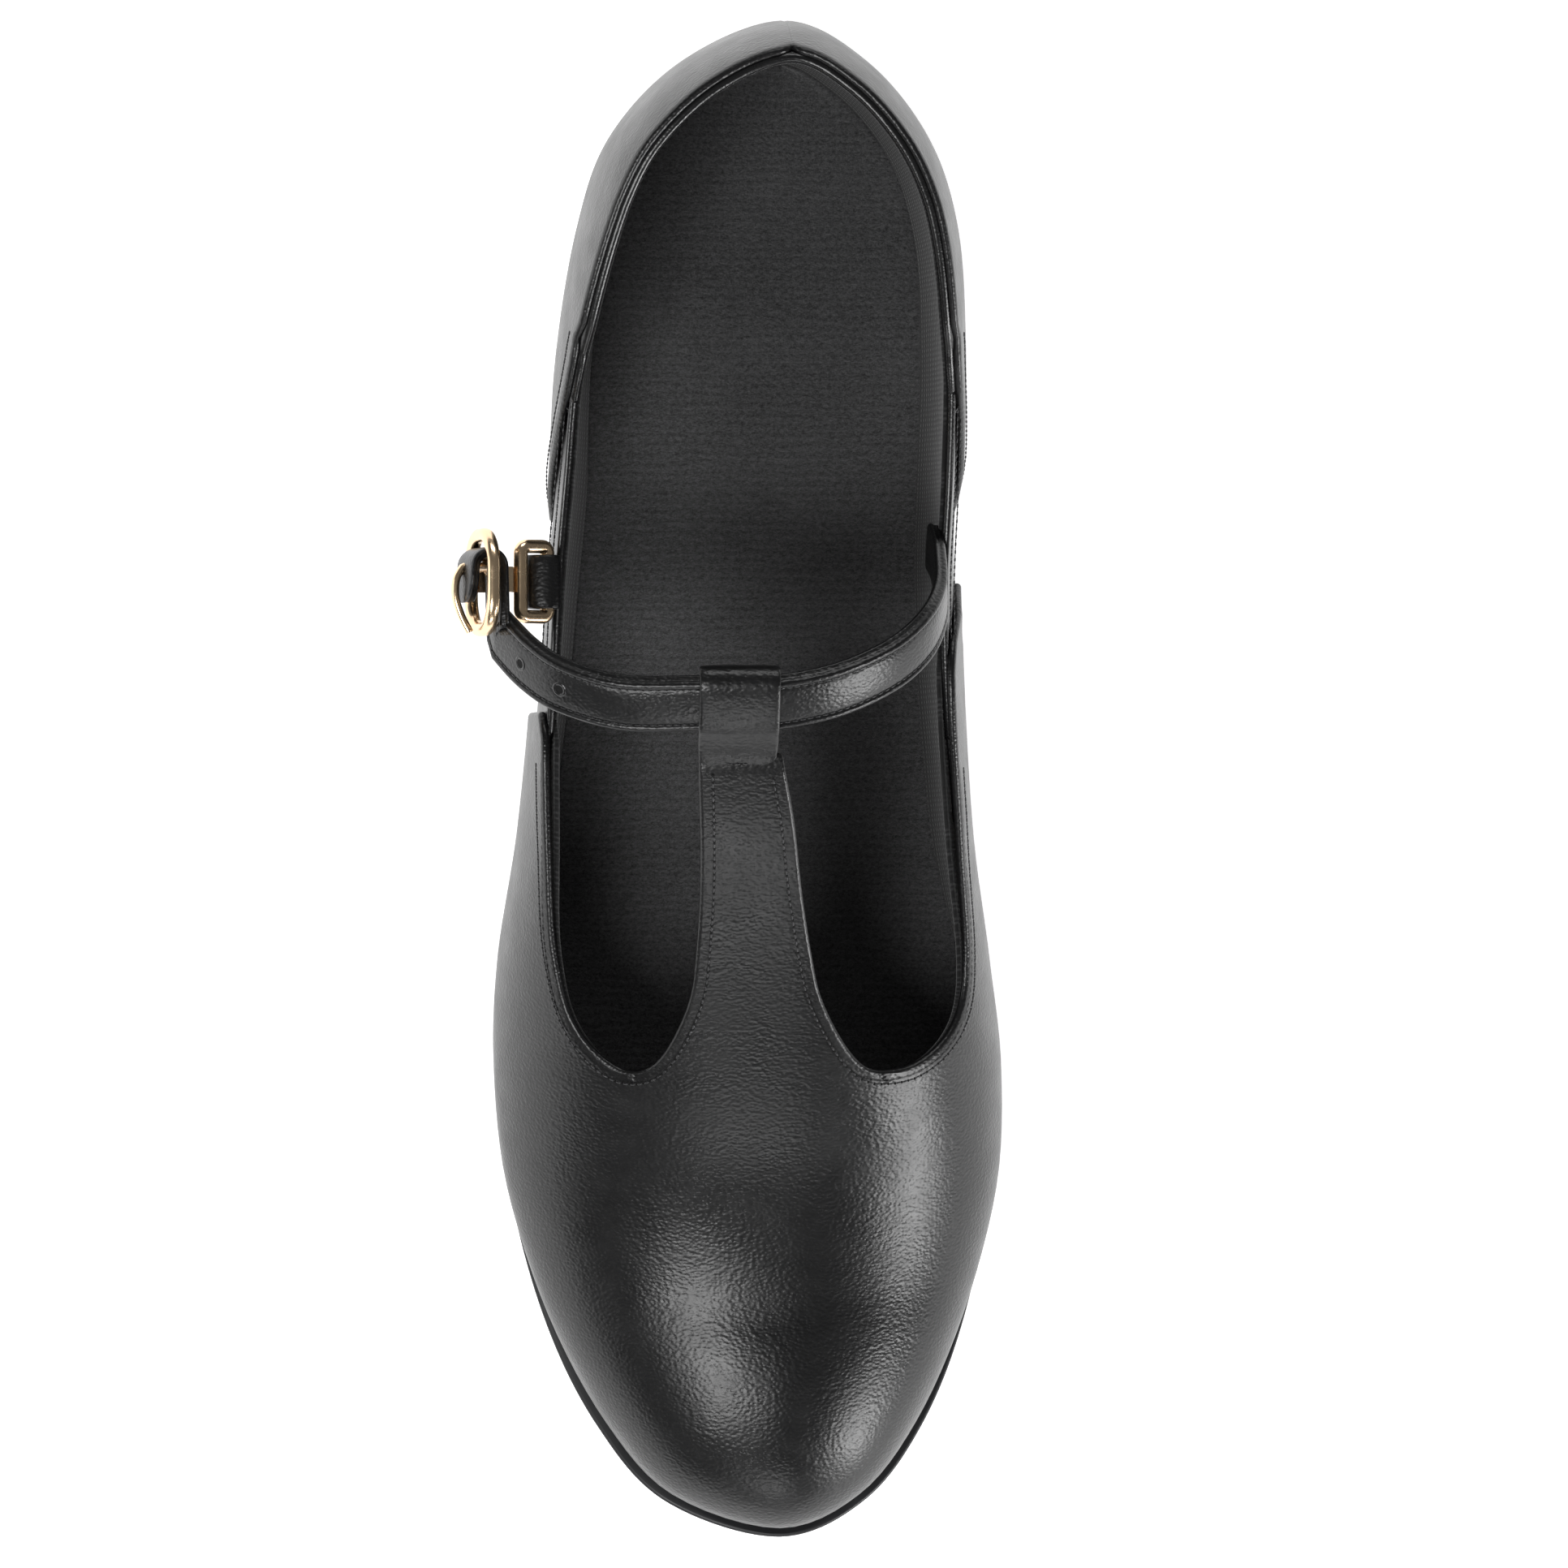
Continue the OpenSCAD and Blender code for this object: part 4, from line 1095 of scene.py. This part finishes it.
def strap_loop():
    """The T-bar's end folded over the strap and sewn back on itself."""
    w = Vector((0, math.cos(LOOP_TILT), math.sin(LOOP_TILT)))
    n = Vector((0, -math.sin(LOOP_TILT), math.cos(LOOP_TILT)))
    over = [(-5.2, 1.35), (-3.6, 1.95), (-1.5, 2.15), (1.5, 2.25), (4.0, 2.1), (5.5, 1.4), (6.2, 0.1),
            (5.7, -1.3), (4.0, -2.0), (0, -2.15), (-4.0, -2.2)]
    x = LOOP_CENTRE.x
    path = [Vector((x, y, smooth_at(CREST_Z, y) + z)) for y, z in ((2.4, -1.0), (4.2, -0.75), (6.4, -0.25))]
    path += [LOOP_CENTRE + w * a + n * b for a, b in over]
    path += [Vector((x, 7.2, 83.0)), Vector((x, 3.4, 80.8))]
    path = through(path, 7)

    def size(k):
        """A little narrower at the seam and where it is folded back under the bar."""
        return (mix(0.945, 1.0, ease(k / 20)) if k < 70 else 0.93, 1.0)

    obj = sweep("strap_loop", path, normals_across(path, Vector((1, 0, 0))), ellipse(6.35, 0.62, 28, 5.0),
                BLACK_LEATHER, scale=size)
    return piece(obj, "shoe", ["strap_loop"])


strap_loop()
SEAM_Y = 4.2
seam_row = [(Vector((mix(-6.1, 2.7, k / 12), SEAM_Y, smooth_at(CREST_Z, SEAM_Y) - 0.012 * (k - 6) ** 2)),
             Vector((0, -0.45, 0.9))) for k in range(13)]
stitches("loop_stitches", [seam_row], "shoe")


# ---- ring and buckle -----------------------------------------------------------------------
RING_INNER = Vector((-31.4, 33.2, 69.2))
RING_REACH, RING_HALF, RING_D = 5.6, 5.6, 2.2
RING_TURN = Matrix.Rotation(math.radians(40), 3, "Y")
FRAME_W, FRAME_L, FRAME_T, BAR_D = 15, 17, 2, 1.6


def rounded_loop(w, l, r, n=10):
    """Closed centre line of a rectangle w by l with corners of radius r, in (x, y)."""
    signs = ((1, 1), (-1, 1), (-1, -1), (1, -1))

    def on_corner(q, degrees):
        sx, sy = signs[q % 4]
        a = math.radians(degrees)
        return Vector((sx * (w / 2 - r) + r * math.cos(a), sy * (l / 2 - r) + r * math.sin(a)))

    pts = []
    for q in range(4):
        pts += [on_corner(q, 90 * q + 90 * k / n) for k in range(n + 1)]
        end, start = on_corner(q, 90 * q + 90), on_corner(q + 1, 90 * q + 90)
        pts += [mix(end, start, k / 8) for k in range(1, 8)]
    return pts


def ring():
    loop = rounded_loop(RING_REACH, 2 * RING_HALF, 1.15)
    path = [RING_INNER + RING_TURN @ Vector((x - RING_REACH / 2, y, 0)) for x, y in loop]
    normals = [RING_TURN @ Z_UP] * len(path)
    obj = sweep("ring", path, normals, ellipse(RING_D / 2, RING_D / 2, 18, 2.3), GOLD, True)
    return piece(obj, "ring", ["ring"])


ring()


def buckle_frame():
    loop = rounded_loop(FRAME_W - FRAME_T, FRAME_L - FRAME_T, 5.3, 16)
    path = [from_buckle(x, y, 0) for x, y in loop]
    normals = [BUCKLE_TURN @ Z_UP] * len(path)
    obj = sweep("buckle_frame", path, normals, ellipse(FRAME_T * 0.55, FRAME_T * 0.52, 18, 2.5), GOLD, True)
    return piece(obj, "strap_end", ["buckle_frame"])


buckle_frame()


def buckle_prong():
    """Wire turned round the bar, over the strap's tip and down to the frame."""
    r = BAR_D / 2 + 0.65
    turn = [(BAR_Y + r * math.cos(math.radians(a)), r * math.sin(math.radians(a)))
            for a in range(-150, 61, 15)]
    reach = [(BAR_Y - 0.1, 3.3), (0.4, 4.3), (-2.4, 4.4), (-5.4, 3.4), (-7.9, 2.05)]
    path = [from_buckle(0, y, z) for y, z in turn] + through([from_buckle(0, y, z) for y, z in reach], 6)
    normals = normals_across(path, BUCKLE_TURN @ Vector((1, 0, 0)))
    last = len(path) - 1

    def size(k):
        return (mix(1.0, 0.72, ease((k - last + 14) / 12)), 1.0)

    obj = sweep("buckle_prong", path, normals, ellipse(0.85, 0.6, 16, 2.4), GOLD, scale=size)
    return piece(obj, "prong", ["buckle_prong"])


buckle_prong()


TAB_BULGE = 1.75                 # the tab's fold is this much fuller on its outer side


def ring_tab():
    """Leather tab round the ring's inner bar, its ends sewn in the topline."""
    r = RING_D / 2 + 0.62
    inner_leg = [(1.15, -9.5), (1.2, -6), (1.3, -3)]
    turn = [(r * math.cos(math.radians(a)) * (1 if a < 90 else TAB_BULGE), r * math.sin(math.radians(a)))
            for a in range(-5, 186, 14)]
    outer_leg = [(-2.8, -2), (-2.0, -4), (-0.9, -6), (-0.2, -9)]
    path = [RING_INNER + Vector((x, 0, z)) for x, z in inner_leg + turn + outer_leg]
    normals = normals_across(path, Vector((0, 1, 0)))
    obj = sweep("ring_tab", path, normals, ellipse(4.3, 0.55, 24, 4.5), STRAP_LEATHER)
    return piece(obj, "shoe", ["ring_tab"])


ring_tab()


# ---- floor, lights, camera -----------------------------------------------------------------
FLOOR = 3.0                      # half of its side, in metres
FLOOR_GAP = 0.0002
floor_mesh = bpy.data.meshes.new("floor")
floor_corners = [(x * FLOOR, y * FLOOR, 0) for x, y in ((-1, -1), (1, -1), (1, 1), (-1, 1))]
floor_mesh.from_pydata(floor_corners, [], [(0, 1, 2, 3)])
floor = bpy.data.objects.new("floor", floor_mesh)
floor.location.z = CAD_BOUNDS[0][2] - FLOOR_GAP
bpy.context.collection.objects.link(floor)
floor_look = Nodes("pale_floor")
floor_look.colours(floor_look.noise(3, 2), (0.90, 0.90, 0.90), (0.93, 0.93, 0.93))
floor_mesh.materials.append(floor_look.put(Roughness=0.9, Specular_IOR_Level=0.0,
                                           Emission_Color=(1, 1, 1, 1), Emission_Strength=0.68))

world = bpy.data.worlds.new("studio")
bpy.context.scene.world = world
world.use_nodes = True
world.node_tree.nodes["Background"].inputs["Color"].default_value = (1, 1, 1, 1)
world.node_tree.nodes["Background"].inputs["Strength"].default_value = 0.12
bpy.context.scene.view_settings.view_transform = "Standard"


SHOE_MIDDLE = Vector((0, 0, 0.05))


def studio_light(name, azimuth, elevation, distance, size, radiance):
    """A soft light seen from the shoe at azimuth (0 towards the heel, 90 medial) and elevation."""
    a, e = math.radians(azimuth), math.radians(elevation)
    way = Vector((math.sin(a) * math.cos(e), math.cos(a) * math.cos(e), math.sin(e)))
    light = bpy.data.lights.new(name, "AREA")
    light.shape = "RECTANGLE"
    light.size, light.size_y = size
    light.energy = radiance * math.pi * size[0] * size[1]
    obj = bpy.data.objects.new(name, light)
    obj.location = SHOE_MIDDLE + way * distance
    obj.rotation_euler = (-way * distance).to_track_quat("-Z", "Y").to_euler()
    bpy.context.collection.objects.link(obj)


studio_light("softbox_toe_left", -140, 58, 1.4, (0.55, 0.55), 12.5)
studio_light("softbox_right", 130, 14, 1.3, (0.4, 0.6), 14.0)
studio_light("softbox_front", 180, 19, 1.5, (0.6, 0.22), 6.5)
studio_light("softbox_left", -92, 12, 1.3, (0.9, 0.35), 2.5)
studio_light("softbox_heel", 10, 30, 1.4, (0.9, 0.4), 4.5)

CAMERA_TILT = math.radians(3)
CAMERA_RANGE = 1.3
PICTURE_WIDTH = 0.2643           # metres that the picture spans at the aim point
AIM = Vector((0.010, 0.001, 0.0))
camera_data = bpy.data.cameras.new("camera")
camera_data.sensor_width = 36
camera_data.lens = camera_data.sensor_width * CAMERA_RANGE / PICTURE_WIDTH
camera = bpy.data.objects.new("camera", camera_data)
camera.location = AIM + Vector((-math.sin(CAMERA_TILT), 0, math.cos(CAMERA_TILT))) * CAMERA_RANGE
camera.rotation_euler = (0, -CAMERA_TILT, 0)
camera_data.clip_start = 0.05
bpy.context.collection.objects.link(camera)
bpy.context.scene.camera = camera
